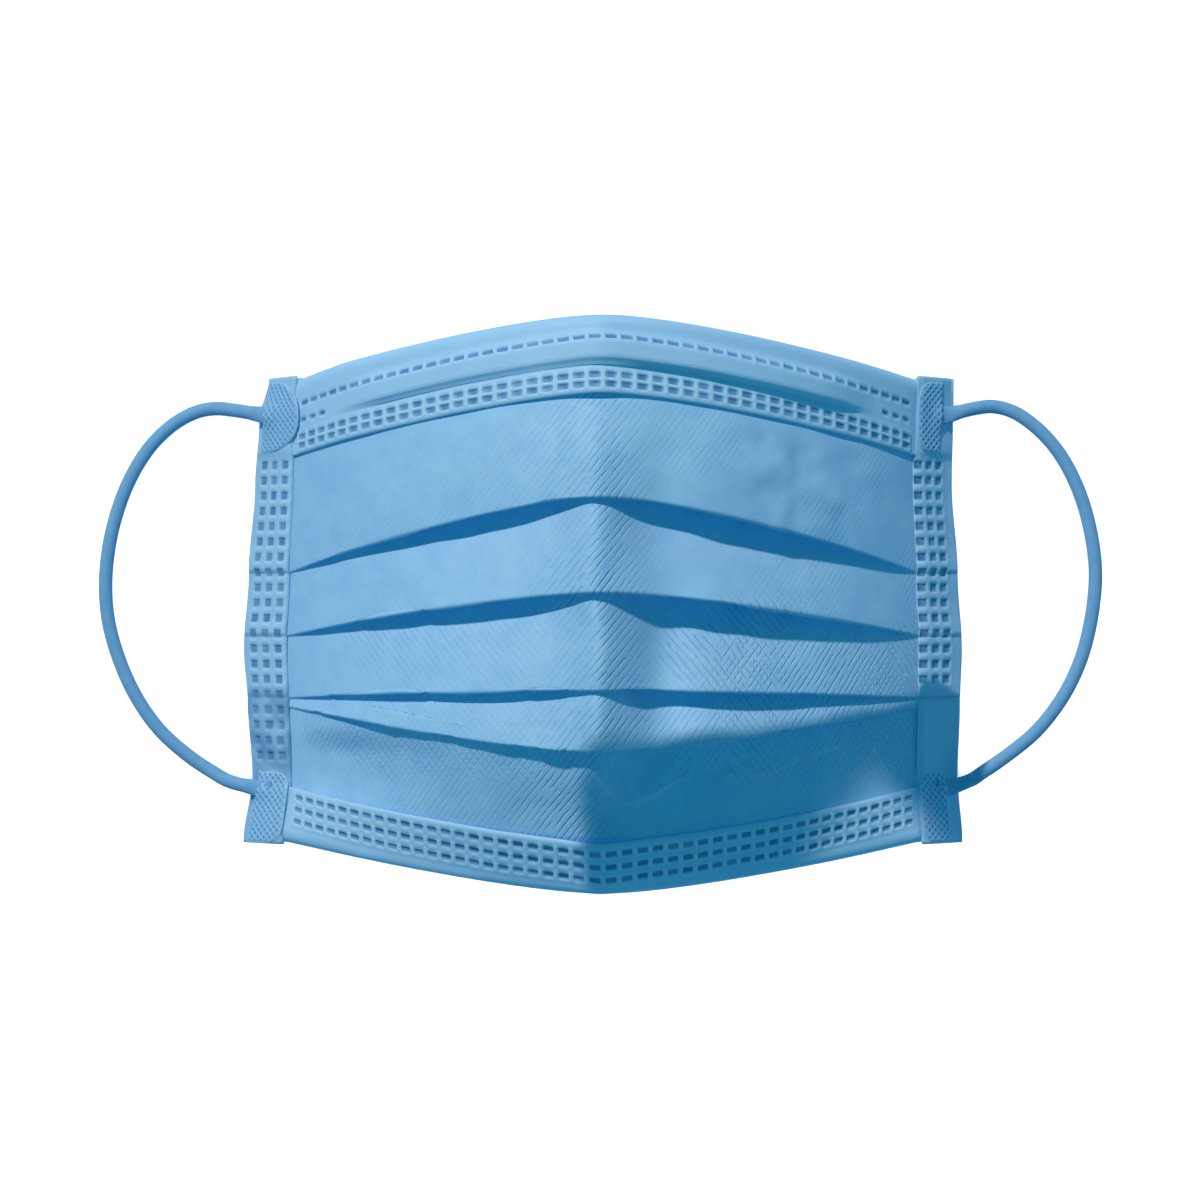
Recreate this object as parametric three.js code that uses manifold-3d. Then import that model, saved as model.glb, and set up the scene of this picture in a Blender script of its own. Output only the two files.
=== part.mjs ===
// A pleated surgical face mask that lies open on a table, front face up, its ear loops laid flat beside it.
// Millimetres. X runs across the mask, Y from the chin edge to the nose edge, Z up from the table.
// The origin is on the table, under the middle of the mask.
import * as THREE from "three";
import { mergeVertices } from "three/addons/utils/BufferGeometryUtils.js";
import Module from "manifold-3d";

const wasm = await Module();
wasm.setup();

// Driving sizes of the whole mask
const SPAN = 148; // across the bowed mask, outside the side bindings
const SIDE_HEIGHT = 95; // along the side bindings
const CENTRE_HEIGHT = 115; // nose edge to chin edge on the centre line, pleats pulled open
const ARCH = 42; // the cloth's height above the table on the centre line
const BOW = 1.35; // how sharply the edges and pleats bow towards the centre line, 1 is straight
const CREASE = 0.2; // how much of the arch is a roof creased on the centre line; the rest is a parabola
const RIDGE_ROUND = 3; // rounding of the crease

// Cloth and clearances
const CLOTH = 1; // wall of the three-ply cloth
const GAP = 0.3; // between neighbouring pieces

// Pleats
const PLEAT_DEPTH = 7; // how far the deepest lip stands out from the arch
const PLEAT_TUCK = 3.4; // how far a pleat's hidden layer runs up behind its lip
const PLEAT_STEP = 0.25; // half the step that the flattened pleats leave at the sides
const PLEAT_OPENING = 0.3; // share of the half width over which a pleat opens from its flat end

// Hems along the nose and chin edges, and bindings down the sides
const TOP_HEM = 16;
const BOTTOM_HEM = 11.6;
const HEM_BACK = 6; // the hem's short flap behind the cloth
const BINDING = 8; // the binding's front flap, seen from above
const BINDING_BACK = 5.6; // its back flap, seen from above

// Nose wire, a flat strip inside the top hem
const WIRE_LENGTH = 92; // seen from above
const WIRE_WIDTH = 3.6;
const WIRE_THICK = 0.8;
const WIRE_DROP = 7.8; // from the nose edge to the wire's middle
const POCKET_SLOPE = 1.6; // width of the hem's slope beside the wire
const POCKET_FADE = 8; // length over which the hem's ridge fades past the wire's ends

// Ear loops and the welds that hold their flattened ends
const CORD = 2.8; // diameter
const CORD_SIDES = 8;
const CORD_STEPS = 30;
const WELD = 1; // thickness of a weld pad
const WELD_HEIGHT = 14.6;
const WELD_WIDTH = 0.42; // half width of a weld pad, as a share of the binding's front flap
const NECK_FLAT = 0.78; // how much of the cord's diameter the flat end has as half its width
const NECK_THIN = 0.4; // how much of the pad's thickness the flat end has as half its own
const NECK_REACH = 0.7; // share of the pad's half width from its middle to the neck's flat end

// Mesh fineness
const HALF_COLUMNS = 20; // columns from the centre line to a binding
const BAND_COLUMNS = 3; // columns under a binding
const BINDING_ROWS = 18;
const WELD_ROWS = 8;
const WELD_ACROSS = [-1, -0.5, 0, 0.5, 1]; // a pad's points, shares of its half width
const BINDING_ACROSS = [0, 0.25, 0.5, 0.75, 1]; // a binding flap's points, shares of its width
const ROUND = [0, 0.5, 1]; // a rounded lip or fold's points, shares of its turn
const HEM_TURN = [Math.PI / 3, (2 * Math.PI) / 3]; // where a hem's rounded edge has points
const SHARPEST = 0.2; // the smallest cosine that a mitred corner is drawn out by
const SMALL = 1e-3; // step along the arch for its direction, a share of the half span
const MERGE = 1e-4; // points nearer than this are one

// The four pleats from nose to chin. side and centre are the lip's height at the side, a share of SIDE_HEIGHT,
// and on the centre line, a share of CENTRE_HEIGHT. The others are shares of PLEAT_DEPTH: how far the lip and the
// hidden fold behind it stand out from the arch on the centre line (crown) and half way to the side (flank). tuck
// is a share of PLEAT_TUCK.
const PLEATS = [
  { side: 0.075, centre: 0.185, lipCrown: 0.86, lipFlank: 0.64, foldCrown: 0.29, foldFlank: -0.37, tuck: 1 },
  { side: -0.061, centre: 0.023, lipCrown: 1.0, lipFlank: 0.69, foldCrown: 0.43, foldFlank: -0.31, tuck: 1 },
  { side: -0.194, centre: -0.143, lipCrown: 0.86, lipFlank: 0.57, foldCrown: 0.43, foldFlank: -0.07, tuck: 0.7 },
  { side: -0.214, centre: -0.249, lipCrown: 0.79, lipFlank: 0.46, foldCrown: 0.14, foldFlank: -0.36, tuck: 0.9 },
];

// The nose and chin edges and the inner lines of their hems, with the same columns.
const NOSE_EDGE = { side: 0.49, centre: 0.5, crown: 0, flank: 0 };
const NOSE_HEM = { crown: 0.35, flank: 0.2 };
const CHIN_HEM = { crown: -0.9, flank: -0.8 };
const CHIN_EDGE = { side: -0.51, centre: -0.5, crown: -1.9, flank: -1.5 };

// How far the side edges draw in, as shares of SPAN, at heights that are shares of SIDE_HEIGHT.
const SIDE_LINE = [
  { height: 0.49, left: 0.036, right: 0.012 },
  { height: 0.4, left: 0.022, right: 0.013 },
  { height: 0.26, left: 0.0155, right: 0.014 },
  { height: 0.075, left: 0.0068, right: 0.006 },
  { height: -0.095, left: 0, right: 0 },
  { height: -0.21, left: 0.0054, right: 0.0027 },
  { height: -0.37, left: 0.012, right: 0.006 },
  { height: -0.51, left: 0, right: 0 },
];
const DRAW_FROM = 0.7; // share of the half width where the sides begin to draw in

// The weld pads. height is the pad's middle, a share of SIDE_HEIGHT; square is the exponent of its outline, 2 for an
// ellipse; cord is where the cord leaves it, above the middle, as a share of WELD_HEIGHT.
const WELDS = [
  { name: "loop_weld_top_left", side: -1, height: 0.405, square: 2.2, cord: 0.03 },
  { name: "loop_weld_top_right", side: 1, height: 0.405, square: 4, cord: 0.03 },
  { name: "loop_weld_bottom_left", side: -1, height: -0.432, square: 4, cord: 0.25 },
  { name: "loop_weld_bottom_right", side: 1, height: -0.432, square: 4, cord: 0.12 },
];

// The ear loops' routes, from the top weld to the bottom weld: off the binding's edge, down to the table and round.
const LEFT_ROUTE = [
  [-73.3, 39.7, 4.6], [-75.6, 40.1, 2.9], [-79.4, 40.5, 1.75], [-83.2, 39.9, 1.5], [-87.9, 37.5, 1.5],
  [-93.0, 32.7, 1.5], [-97.5, 25.3, 1.5], [-100.7, 16.0, 1.5], [-102.1, 6.7, 1.5], [-101.9, -1.0, 1.5],
  [-100.4, -8.0, 1.5], [-96.6, -17.4, 1.5], [-91.6, -24.9, 1.5], [-85.7, -30.4, 1.5], [-80.4, -34.0, 1.8],
  [-76.6, -36.0, 3.0], [-74.6, -37.0, 4.5],
];
const RIGHT_ROUTE = [
  [74.6, 39.8, 4.6], [76.9, 40.3, 2.9], [80.4, 40.4, 1.75], [84.2, 39.1, 1.5], [89.1, 35.8, 1.5],
  [94.2, 30.7, 1.5], [98.5, 23.3, 1.5], [101.2, 15.2, 1.5], [102.3, 6.9, 1.5], [101.7, -1.6, 1.5],
  [99.6, -10.6, 1.5], [95.8, -18.6, 1.5], [90.4, -26.4, 1.5], [84.2, -32.2, 1.6], [79.0, -36.0, 2.1],
  [76.6, -37.4, 3.2], [75.2, -38.2, 4.6],
];

const CLOTH_BLUE = { color: 0x87bae4, roughness: 0.9, metalness: 0 };
const HEM_BLUE = { color: 0x92c4ea, roughness: 0.88, metalness: 0 };
const CORD_BLUE = { color: 0x5c9dd0, roughness: 0.85, metalness: 0 };
const WIRE_WHITE = { color: 0xe4e8ea, roughness: 0.5, metalness: 0 };

// Sizes that follow from the driving sizes
const EDGE = 1.5 * CLOTH + GAP; // from the outside of a wrapped edge to the middle of the cloth inside it
const BAND_OFFSET = CLOTH + GAP + PLEAT_STEP; // middle of the cloth to the middle of a binding's flap
const HALF = SPAN / 2 - EDGE - PLEAT_STEP; // half span of the cloth's middle surface
const FOOT = 2 * CLOTH + GAP + PLEAT_STEP; // height of the cloth's side edges above the table
const BAND_START = 1 - BINDING / HALF; // where the bindings begin, as a share of the half span
const BACK_START = 1 - BINDING_BACK / HALF;

const lerp = (a, b, s) => a + (b - a) * s;
const smooth = (s) => {
  const c = THREE.MathUtils.clamp(s, 0, 1);
  return c * c * (3 - 2 * c);
};

// Distance from the centre line as a share of the way to t = end, with the crease's rounding.
function reach(t, end = BAND_START) {
  const r = RIDGE_ROUND / HALF;
  return Math.min(1, (Math.hypot(t, r) - r) / (Math.hypot(end, r) - r));
}

// The arch from side to side: its height above the table, its slope, and how much longer it is than its plan.
const arch = (t) => ARCH - (ARCH - FOOT) * lerp(t * t, reach(t, 1), CREASE);
const archSlope = (t) => ((ARCH - FOOT) / HALF) * lerp(2 * Math.abs(t), 1, CREASE);
const steepness = (t) => Math.hypot(1, archSlope(t));

// A row's height along Y and its relief above the arch, at a share t of the half span.
function rowHeight(row, t) {
  return lerp(row.centre * CENTRE_HEIGHT, row.side * SIDE_HEIGHT, reach(t) ** BOW);
}
function relief(crown, flank, t) {
  const s = reach(t);
  return PLEAT_DEPTH * (crown * (1 - s) * (1 - 2 * s) + 4 * flank * s * (1 - s));
}

// How far the side edge draws in at height y.
function drawIn(y, side) {
  const key = side < 0 ? "left" : "right";
  const height = y / SIDE_HEIGHT;
  if (height >= SIDE_LINE[0].height) return SIDE_LINE[0][key] * SPAN;
  for (let i = 1; i < SIDE_LINE.length; i++) {
    const [a, b] = [SIDE_LINE[i - 1], SIDE_LINE[i]];
    const share = smooth((height - b.height) / (a.height - b.height));
    if (height >= b.height) return SPAN * lerp(b[key], a[key], share);
  }
  return SIDE_LINE.at(-1)[key] * SPAN;
}
function across(t, y) {
  const side = Math.sign(t);
  const share = Math.max(0, (Math.abs(t) - DRAW_FROM) / (1 - DRAW_FROM));
  return side * (Math.abs(t) * HALF - drawIn(y, side) * share ** BOW);
}

const columns = [];
for (let i = -HALF_COLUMNS; i <= HALF_COLUMNS; i++) columns.push((i / HALF_COLUMNS) * BAND_START);
for (let i = 1; i <= BAND_COLUMNS; i++) {
  const t = lerp(BAND_START, 1, i / BAND_COLUMNS);
  columns.push(t);
  columns.unshift(-t);
}

// Both sides of a wall of the given thickness round a line of [a, b] points. A point's kind says where it is rounded:
// a lip on the front, a fold on the back, and a plain one nowhere. The front lies to the right of the line's way.
function wall(line, thickness) {
  const front = [];
  const back = [];
  const half = thickness / 2;
  const way = (p, q) => Math.atan2(q.at[1] - p.at[1], q.at[0] - p.at[0]);
  line.forEach((point, i) => {
    const into = i > 0 ? way(line[i - 1], point) : way(point, line[i + 1]);
    const out = i < line.length - 1 ? way(point, line[i + 1]) : into;
    const turn = Math.atan2(Math.sin(out - into), Math.cos(out - into));
    const put = (list, sign, angle, distance) => {
      const normal = angle - Math.PI / 2;
      const [a, b] = point.at;
      list.push([a + sign * distance * Math.cos(normal), b + sign * distance * Math.sin(normal)]);
    };
    const mitre = half / Math.max(SHARPEST, Math.cos(turn / 2));
    for (const [list, sign, kind] of [[front, 1, "lip"], [back, -1, "fold"]]) {
      if (point.kind !== kind) put(list, sign, into + turn / 2, mitre);
      else for (const share of ROUND) put(list, sign, into + turn * share, half);
    }
  });
  return Object.assign([...front, ...back.reverse()], { frontCount: front.length });
}

// Triangles that fill a closed section from rung to rung between its front points and its back points.
function ladder(section, frontCount) {
  const apart = (i, j) => Math.hypot(section[i][0] - section[j][0], section[i][1] - section[j][1]);
  const triangles = [];
  let [front, back] = [0, section.length - 1];
  while (front < frontCount - 1 || back > frontCount) {
    const backDone = back === frontCount;
    const frontDone = front === frontCount - 1;
    if (backDone || (!frontDone && apart(front + 1, back) <= apart(front, back - 1))) {
      triangles.push([front, front + 1, back]);
      front += 1;
    } else {
      triangles.push([front, back - 1, back]);
      back -= 1;
    }
  }
  return triangles;
}

// A solid through closed sections, each a list of [a, b] points; place(a, b, i) gives a point of section i in space.
function loft(sections, place, frontCount = sections[0].frontCount) {
  const count = sections[0].length;
  const points = sections.flatMap((section, i) => section.flatMap(([a, b]) => place(a, b, i)));
  const faces = [];
  for (let i = 0; i + 1 < sections.length; i++) {
    for (let j = 0; j < count; j++) {
      const [p, q] = [i * count + j, i * count + ((j + 1) % count)];
      faces.push(p, q, q + count, p, q + count, p + count);
    }
  }
  const last = (sections.length - 1) * count;
  for (const [u, v, w] of ladder(sections[0], frontCount)) faces.push(u, w, v);
  for (const [u, v, w] of ladder(sections.at(-1), frontCount)) faces.push(last + u, last + v, last + w);
  const geometry = new THREE.BufferGeometry();
  geometry.setAttribute("position", new THREE.Float32BufferAttribute(points, 3));
  geometry.setIndex(faces);
  return facingOut(geometry);
}

// The same closed geometry with its faces turned outwards, if they point in.
function facingOut(geometry) {
  const position = geometry.getAttribute("position");
  const index = geometry.index.array;
  const [a, b, c] = [new THREE.Vector3(), new THREE.Vector3(), new THREE.Vector3()];
  let volume = 0;
  for (let i = 0; i < index.length; i += 3) {
    a.fromBufferAttribute(position, index[i]);
    b.fromBufferAttribute(position, index[i + 1]);
    c.fromBufferAttribute(position, index[i + 2]);
    volume += a.dot(b.cross(c));
  }
  if (volume < 0) {
    for (let i = 0; i < index.length; i += 3) [index[i + 1], index[i + 2]] = [index[i + 2], index[i + 1]];
  }
  geometry.computeVertexNormals();
  return geometry;
}

function piece(name, geometry, look) {
  const mesh = new THREE.Mesh(geometry, new THREE.MeshStandardMaterial(look));
  mesh.name = name;
  return mesh;
}

// The cloth's line from nose to chin at a share t of the half span: [y, z] points of its middle surface.
function clothLine(t) {
  const edge = EDGE * steepness(t);
  const rise = (row) => arch(t) + relief(row.crown, row.flank, t);
  const plain = (y, z) => ({ at: [y, z], kind: "plain" });
  const top = rowHeight(NOSE_EDGE, t);
  const bottom = rowHeight(CHIN_EDGE, t);
  const between = (p, [y, z]) => plain(lerp(p.at[0], y, 0.5), lerp(p.at[1], z, 0.5));
  const nose = [top - TOP_HEM, rise(NOSE_HEM)];
  const line = [plain(top - edge, rise(NOSE_EDGE))];
  line.push(between(line[0], nose), plain(...nose));
  const opening = 1 - smooth((reach(t) - 1 + PLEAT_OPENING) / PLEAT_OPENING);
  for (const pleat of PLEATS) {
    const lip = rowHeight(pleat, t);
    const fold = lip + lerp(-2 * PLEAT_STEP, pleat.tuck * PLEAT_TUCK, opening);
    const lipRise = arch(t) + relief(pleat.lipCrown, pleat.lipFlank, t) + PLEAT_STEP;
    const foldRise = arch(t) + relief(pleat.foldCrown, pleat.foldFlank, t) - PLEAT_STEP;
    line.push(between(line.at(-1), [lip, lipRise]));
    line.push({ at: [lip, lipRise], kind: "lip" }, { at: [fold, foldRise], kind: "fold" });
  }
  const chin = [bottom + edge, rise(CHIN_EDGE)];
  line.push(plain(bottom + BOTTOM_HEM, rise(CHIN_HEM)));
  line.push(between(line.at(-1), chin), plain(...chin));
  return line;
}

function pleatedPanel() {
  const sections = columns.map((t) => wall(clothLine(t), CLOTH * steepness(t)));
  return loft(sections, (y, z, i) => [across(columns[i], y), y, z]);
}

// The two ends of the cloth's line under a hem, and the ways along it and out of its front.
function hemFrame(t, isTop) {
  const line = clothLine(t);
  const [edge, inner] = isTop ? [line[0].at, line[2].at] : [line.at(-1).at, line.at(-3).at];
  const along = new THREE.Vector2(inner[0] - edge[0], inner[1] - edge[1]);
  const length = along.length();
  along.normalize();
  const sign = isTop ? 1 : -1;
  const out = new THREE.Vector2(sign * along.y, -sign * along.x);
  const at = (s, n) => [edge[0] + along.x * s + out.x * n, edge[1] + along.y * s + out.y * n];
  return { at, length };
}

// How far the top hem stands off the cloth to pass over the wire, at s along the hem.
function pocket(s, t) {
  const middle = WIRE_DROP - EDGE;
  const beside = (Math.abs(s - middle) - WIRE_WIDTH / 2 - GAP) / POCKET_SLOPE;
  const past = (Math.abs(t) * HALF - WIRE_LENGTH / 2 - GAP) / POCKET_FADE;
  return (WIRE_THICK + GAP) * (1 - smooth(beside)) * (1 - smooth(past));
}

// A hem: a strip folded round the cloth's edge, with a long flap in front and a short one behind.
function hem(isTop) {
  const hemColumns = columns.filter((t) => Math.abs(t) <= BAND_START);
  const middle = WIRE_DROP - EDGE;
  const crest = WIRE_WIDTH / 2 + GAP;
  const foot = crest + POCKET_SLOPE;
  const stops = isTop ? [middle - foot, middle - crest, middle + crest, middle + foot] : [];
  const sections = hemColumns.map((t) => {
    const { at, length } = hemFrame(t, isTop);
    const scale = steepness(t);
    const offset = (CLOTH + GAP) * scale;
    const line = [at(HEM_BACK, -offset), at(0, -offset)];
    for (const angle of HEM_TURN) {
      line.push(at(-offset * Math.sin(angle), -offset * Math.cos(angle)));
    }
    line.push(at(0, offset));
    for (const s of stops) line.push(at(s, offset + pocket(s, t) * scale));
    line.push(at(length, offset));
    return wall(line.map((p) => ({ at: p, kind: "plain" })), CLOTH * scale);
  });
  return loft(sections, (y, z, i) => [across(hemColumns[i], y), y, z]);
}

// The strip that stiffens the nose edge, between the cloth and the top hem's front flap.
function noseWire() {
  const half = WIRE_LENGTH / 2 / HALF;
  const wireColumns = [-half, ...columns.filter((t) => Math.abs(t) < half - 0.01), half];
  const sections = wireColumns.map((t) => {
    const { at } = hemFrame(t, true);
    const scale = steepness(t);
    const offset = (CLOTH / 2 + GAP + WIRE_THICK / 2) * scale;
    const ends = [-1, 1].map((sign) => at(WIRE_DROP - EDGE + (sign * WIRE_WIDTH) / 2, offset));
    return wall(ends.map((p) => ({ at: p, kind: "plain" })), WIRE_THICK * scale);
  });
  return loft(sections, (y, z, i) => [across(wireColumns[i], y), y, z]);
}

// A point off the cloth's middle surface under a binding, in the X-Z plane at height y, on the right-hand side.
function offBand(t, y, side, offset) {
  const at = (s) => [side * across(side * s, y), arch(s)];
  const [[x0, z0], [x1, z1]] = [at(t - SMALL), at(t + SMALL)];
  const length = Math.hypot(x1 - x0, z1 - z0);
  const [x, z] = at(t);
  return [x - (offset * (z1 - z0)) / length, z + (offset * (x1 - x0)) / length];
}

// A side binding: a strip folded round the side edge, which stands on its folded edge.
function sideBinding(side) {
  const top = NOSE_EDGE.side * SIDE_HEIGHT;
  const bottom = CHIN_EDGE.side * SIDE_HEIGHT;
  const rows = Array.from({ length: BINDING_ROWS + 1 }, (_, i) => lerp(top, bottom, i / BINDING_ROWS));
  const slope = archSlope(1);
  const sections = rows.map((y) => {
    const front = BINDING_ACROSS.map((s) => offBand(lerp(BAND_START, 1, s), y, side, BAND_OFFSET));
    const back = BINDING_ACROSS.map((s) => offBand(lerp(1, BACK_START, s), y, side, -BAND_OFFSET));
    const outer = HALF - drawIn(y, side) + BAND_OFFSET;
    const ground = CLOTH / 2;
    const knee = [outer, front.at(-1)[1] - (outer - front.at(-1)[0]) * slope];
    const heel = [back[0][0] + (back[0][1] - ground) / slope, ground];
    const line = [...front, knee, [outer, ground], heel, ...back.slice(1)];
    return wall(line.map((p) => ({ at: p, kind: "plain" })), CLOTH);
  });
  return loft(sections, (x, z, i) => [side * x, rows[i], z]);
}

// A closed three.js geometry as a manifold-3d solid, and back.
function solid(geometry) {
  const bare = new THREE.BufferGeometry();
  bare.setAttribute("position", geometry.getAttribute("position"));
  bare.setIndex(geometry.index);
  const merged = mergeVertices(bare, MERGE);
  const vertProperties = merged.getAttribute("position").array;
  const triVerts = new Uint32Array(merged.index.array);
  return new wasm.Manifold(new wasm.Mesh({ numProp: 3, vertProperties, triVerts }));
}
function geometryOf(made) {
  const mesh = made.getMesh();
  const geometry = new THREE.BufferGeometry();
  geometry.setAttribute("position", new THREE.BufferAttribute(mesh.vertProperties, 3));
  geometry.setIndex(new THREE.BufferAttribute(mesh.triVerts, 1));
  geometry.computeVertexNormals();
  return geometry;
}

// A weld pad: the cord's end, pressed flat on the binding's front flap, with a neck that tapers up to the round cord.
function weldPad(weld, cordEnd, cordNext) {
  const { side, square } = weld;
  const middleY = weld.height * SIDE_HEIGHT;
  const offset = BAND_OFFSET + CLOTH / 2 + GAP + WELD / 2;
  const count = WELD_ROWS + 1;
  const rows = Array.from({ length: count }, (_, i) => -Math.cos((Math.PI * (i + 0.5)) / count));
  const sections = rows.map((row) => {
    const width = WELD_WIDTH * (1 - Math.abs(row) ** square) ** (1 / square);
    const y = middleY + (row * WELD_HEIGHT) / 2;
    const places = WELD_ACROSS.map((s) => lerp(BAND_START, 1, 0.5 + s * width));
    const line = places.map((t) => offBand(t, y, side, offset));
    return wall(line.map((p) => ({ at: p, kind: "plain" })), WELD);
  });
  const pad = loft(sections, (x, z, i) => [side * x, middleY + (rows[i] * WELD_HEIGHT) / 2, z]);
  return geometryOf(solid(pad).add(solid(neck(weld, cordEnd, cordNext, offset))));
}

// The neck between a round cord and its flat end: rings from the cord's section to a flat one inside the pad.
function neck(weld, cordEnd, cordNext, offset) {
  const inwards = new THREE.Vector3().subVectors(cordEnd, cordNext).normalize();
  const start = cordEnd.clone().addScaledVector(inwards, GAP);
  const share = 0.5 + WELD_WIDTH * NECK_REACH;
  const y = weld.height * SIDE_HEIGHT + weld.cord * WELD_HEIGHT;
  const [x, z] = offBand(lerp(BAND_START, 1, share), y, weld.side, offset);
  const end = new THREE.Vector3(weld.side * x, y, z);
  const sideways = new THREE.Vector3(0, 1, 0);
  const rings = ROUND.map((s) => {
    const centre = start.clone().lerp(end, s);
    const axis = inwards.clone().lerp(new THREE.Vector3().subVectors(end, start).normalize(), s).normalize();
    const broad = sideways.clone().addScaledVector(axis, -sideways.dot(axis)).normalize();
    const thin = new THREE.Vector3().crossVectors(axis, broad);
    const halfBroad = CORD * lerp(0.5, NECK_FLAT, smooth(s));
    const halfThin = lerp(CORD / 2, WELD * NECK_THIN, smooth(s));
    return Array.from({ length: CORD_SIDES }, (_, k) => {
      const angle = (2 * Math.PI * (k + 0.5)) / CORD_SIDES;
      const point = centre.clone().addScaledVector(broad, halfBroad * Math.cos(angle));
      return point.addScaledVector(thin, halfThin * Math.sin(angle));
    });
  });
  const circle = rings[0].map((_, k) => {
    const angle = (2 * Math.PI * (k + 0.5)) / CORD_SIDES;
    return [Math.cos(angle), Math.sin(angle)];
  });
  const place = (a, b, i) => rings[i][circle.findIndex((p) => p[0] === a && p[1] === b)].toArray();
  return loft([circle, circle, circle], place, CORD_SIDES / 2);
}

// An ear loop: a round cord along its route.
function cordRoute(points) {
  return new THREE.CatmullRomCurve3(points.map((p) => new THREE.Vector3(...p)), false, "centripetal");
}
function earLoop(points) {
  const section = new THREE.Shape();
  for (let k = 0; k < CORD_SIDES; k++) {
    const angle = (2 * Math.PI * (k + 0.5)) / CORD_SIDES;
    const corner = [(CORD / 2) * Math.cos(angle), (CORD / 2) * Math.sin(angle)];
    if (k === 0) section.moveTo(...corner);
    else section.lineTo(...corner);
  }
  section.closePath();
  const settings = { steps: CORD_STEPS, extrudePath: cordRoute(points), bevelEnabled: false };
  return new THREE.ExtrudeGeometry(section, settings);
}

const mask = new THREE.Group();
mask.add(piece("pleated_panel", pleatedPanel(), CLOTH_BLUE));
mask.add(piece("top_hem", hem(true), HEM_BLUE));
mask.add(piece("bottom_hem", hem(false), HEM_BLUE));
mask.add(piece("nose_wire", noseWire(), WIRE_WHITE));
for (const [name, side, route] of [["left", -1, LEFT_ROUTE], ["right", 1, RIGHT_ROUTE]]) {
  mask.add(piece(`side_binding_${name}`, sideBinding(side), HEM_BLUE));
  mask.add(piece(`ear_loop_${name}`, earLoop(route), CORD_BLUE));
  const ends = [[route[0], route[1]], [route.at(-1), route.at(-2)]];
  WELDS.filter((weld) => weld.side === side).forEach((weld, i) => {
    const [end, next] = ends[i].map((p) => new THREE.Vector3(...p));
    mask.add(piece(weld.name, weldPad(weld, end, next), HEM_BLUE));
  });
}

export default mask;
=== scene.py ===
"""A pleated surgical face mask that lies open on a pale table, front face up, seen from straight above."""

import math

import bpy
import numpy as np
from bpy.props import FloatProperty, FloatVectorProperty, IntProperty, PointerProperty
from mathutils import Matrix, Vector


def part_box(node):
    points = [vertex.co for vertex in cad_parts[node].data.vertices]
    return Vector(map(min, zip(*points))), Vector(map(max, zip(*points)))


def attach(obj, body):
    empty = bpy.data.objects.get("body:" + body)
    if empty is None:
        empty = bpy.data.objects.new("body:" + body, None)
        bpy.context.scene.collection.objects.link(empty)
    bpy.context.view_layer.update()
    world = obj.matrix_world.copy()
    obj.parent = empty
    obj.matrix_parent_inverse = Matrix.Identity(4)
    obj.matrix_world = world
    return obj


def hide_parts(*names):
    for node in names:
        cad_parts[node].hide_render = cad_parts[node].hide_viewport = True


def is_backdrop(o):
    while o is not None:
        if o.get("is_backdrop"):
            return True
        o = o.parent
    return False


bl_info = {
    "name": "Pleated face mask",
    "version": (1, 0, 0),
    "blender": (4, 5, 0),
    "location": "3D View > Sidebar > Mask",
    "description": "Builds a pleated surgical face mask with ear loops, and a plain stage for it",
    "category": "Object",
}

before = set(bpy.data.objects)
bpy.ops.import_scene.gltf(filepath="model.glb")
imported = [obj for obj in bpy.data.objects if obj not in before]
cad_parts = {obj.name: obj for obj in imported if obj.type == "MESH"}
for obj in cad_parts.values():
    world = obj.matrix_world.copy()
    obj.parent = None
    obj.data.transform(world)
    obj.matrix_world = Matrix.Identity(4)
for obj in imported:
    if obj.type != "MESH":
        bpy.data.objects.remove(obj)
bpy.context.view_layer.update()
LEFT_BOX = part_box("side_binding_left")
RIGHT_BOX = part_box("side_binding_right")

MM = 0.001
SIDES = {"left": -1, "right": 1}


def table(columns, *rows):
    """The rows of a table as dictionaries, with its columns named once."""
    names = columns.split()
    return [dict(zip(names, row)) for row in rows]


# The four pleats from nose to chin. side and centre are the lip's height at the side, a share of the side
# height, and on the centre line, a share of the centre height. The next three are shares of the pleat depth: how
# far the lip stands out from the arch on the centre line (crown) and half way to the side (flank), and how far
# the hidden fold behind it does on the centre line. tuck is a share of the pleat tuck. left and right, shares of
# the pleat depth, say how far the fold sinks on each side of the middle ridge.
PLEATS = table(
    "side centre lip_crown lip_flank fold_crown tuck left right",
    (0.075, 0.185, 0.86, 0.64, 0.29, 1.0, 0.75, 1.55),
    (-0.061, 0.023, 1.0, 0.69, 0.43, 1.0, 0.7, 1.6),
    (-0.194, -0.143, 0.86, 0.57, 0.43, 0.7, 0.1, 0.65),
    (-0.214, -0.249, 0.79, 0.46, 0.14, 0.9, -0.9, 0.35),
)
NOSE_EDGE = dict(side=0.49, centre=0.5, crown=0.0, flank=0.0)
NOSE_HEM = dict(crown=0.35, flank=0.2)
CHIN_HEM = dict(crown=-0.7, flank=-0.65)
CHIN_EDGE = dict(side=-0.51, centre=-0.5, crown=-1.75, flank=-1.4)

# The three lips that step under the bindings, and the lowest lip's place among the corners of the cloth's line
STEPPED = PLEATS[:3]
LOWEST_LIP = 8

# How far the side edges draw in, as shares of the span, at heights that are shares of the side height
SIDE_LINE = table(
    "height left right",
    (0.49, 0.036, 0.012),
    (0.4, 0.022, 0.013),
    (0.26, 0.0155, 0.014),
    (0.075, 0.0068, 0.006),
    (-0.095, 0.0, 0.0),
    (-0.21, 0.0054, 0.0027),
    (-0.37, 0.012, 0.006),
    (-0.51, 0.0, 0.0),
)
DRAW_FROM = 0.7  # share of the half span where the sides begin to draw in

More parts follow.
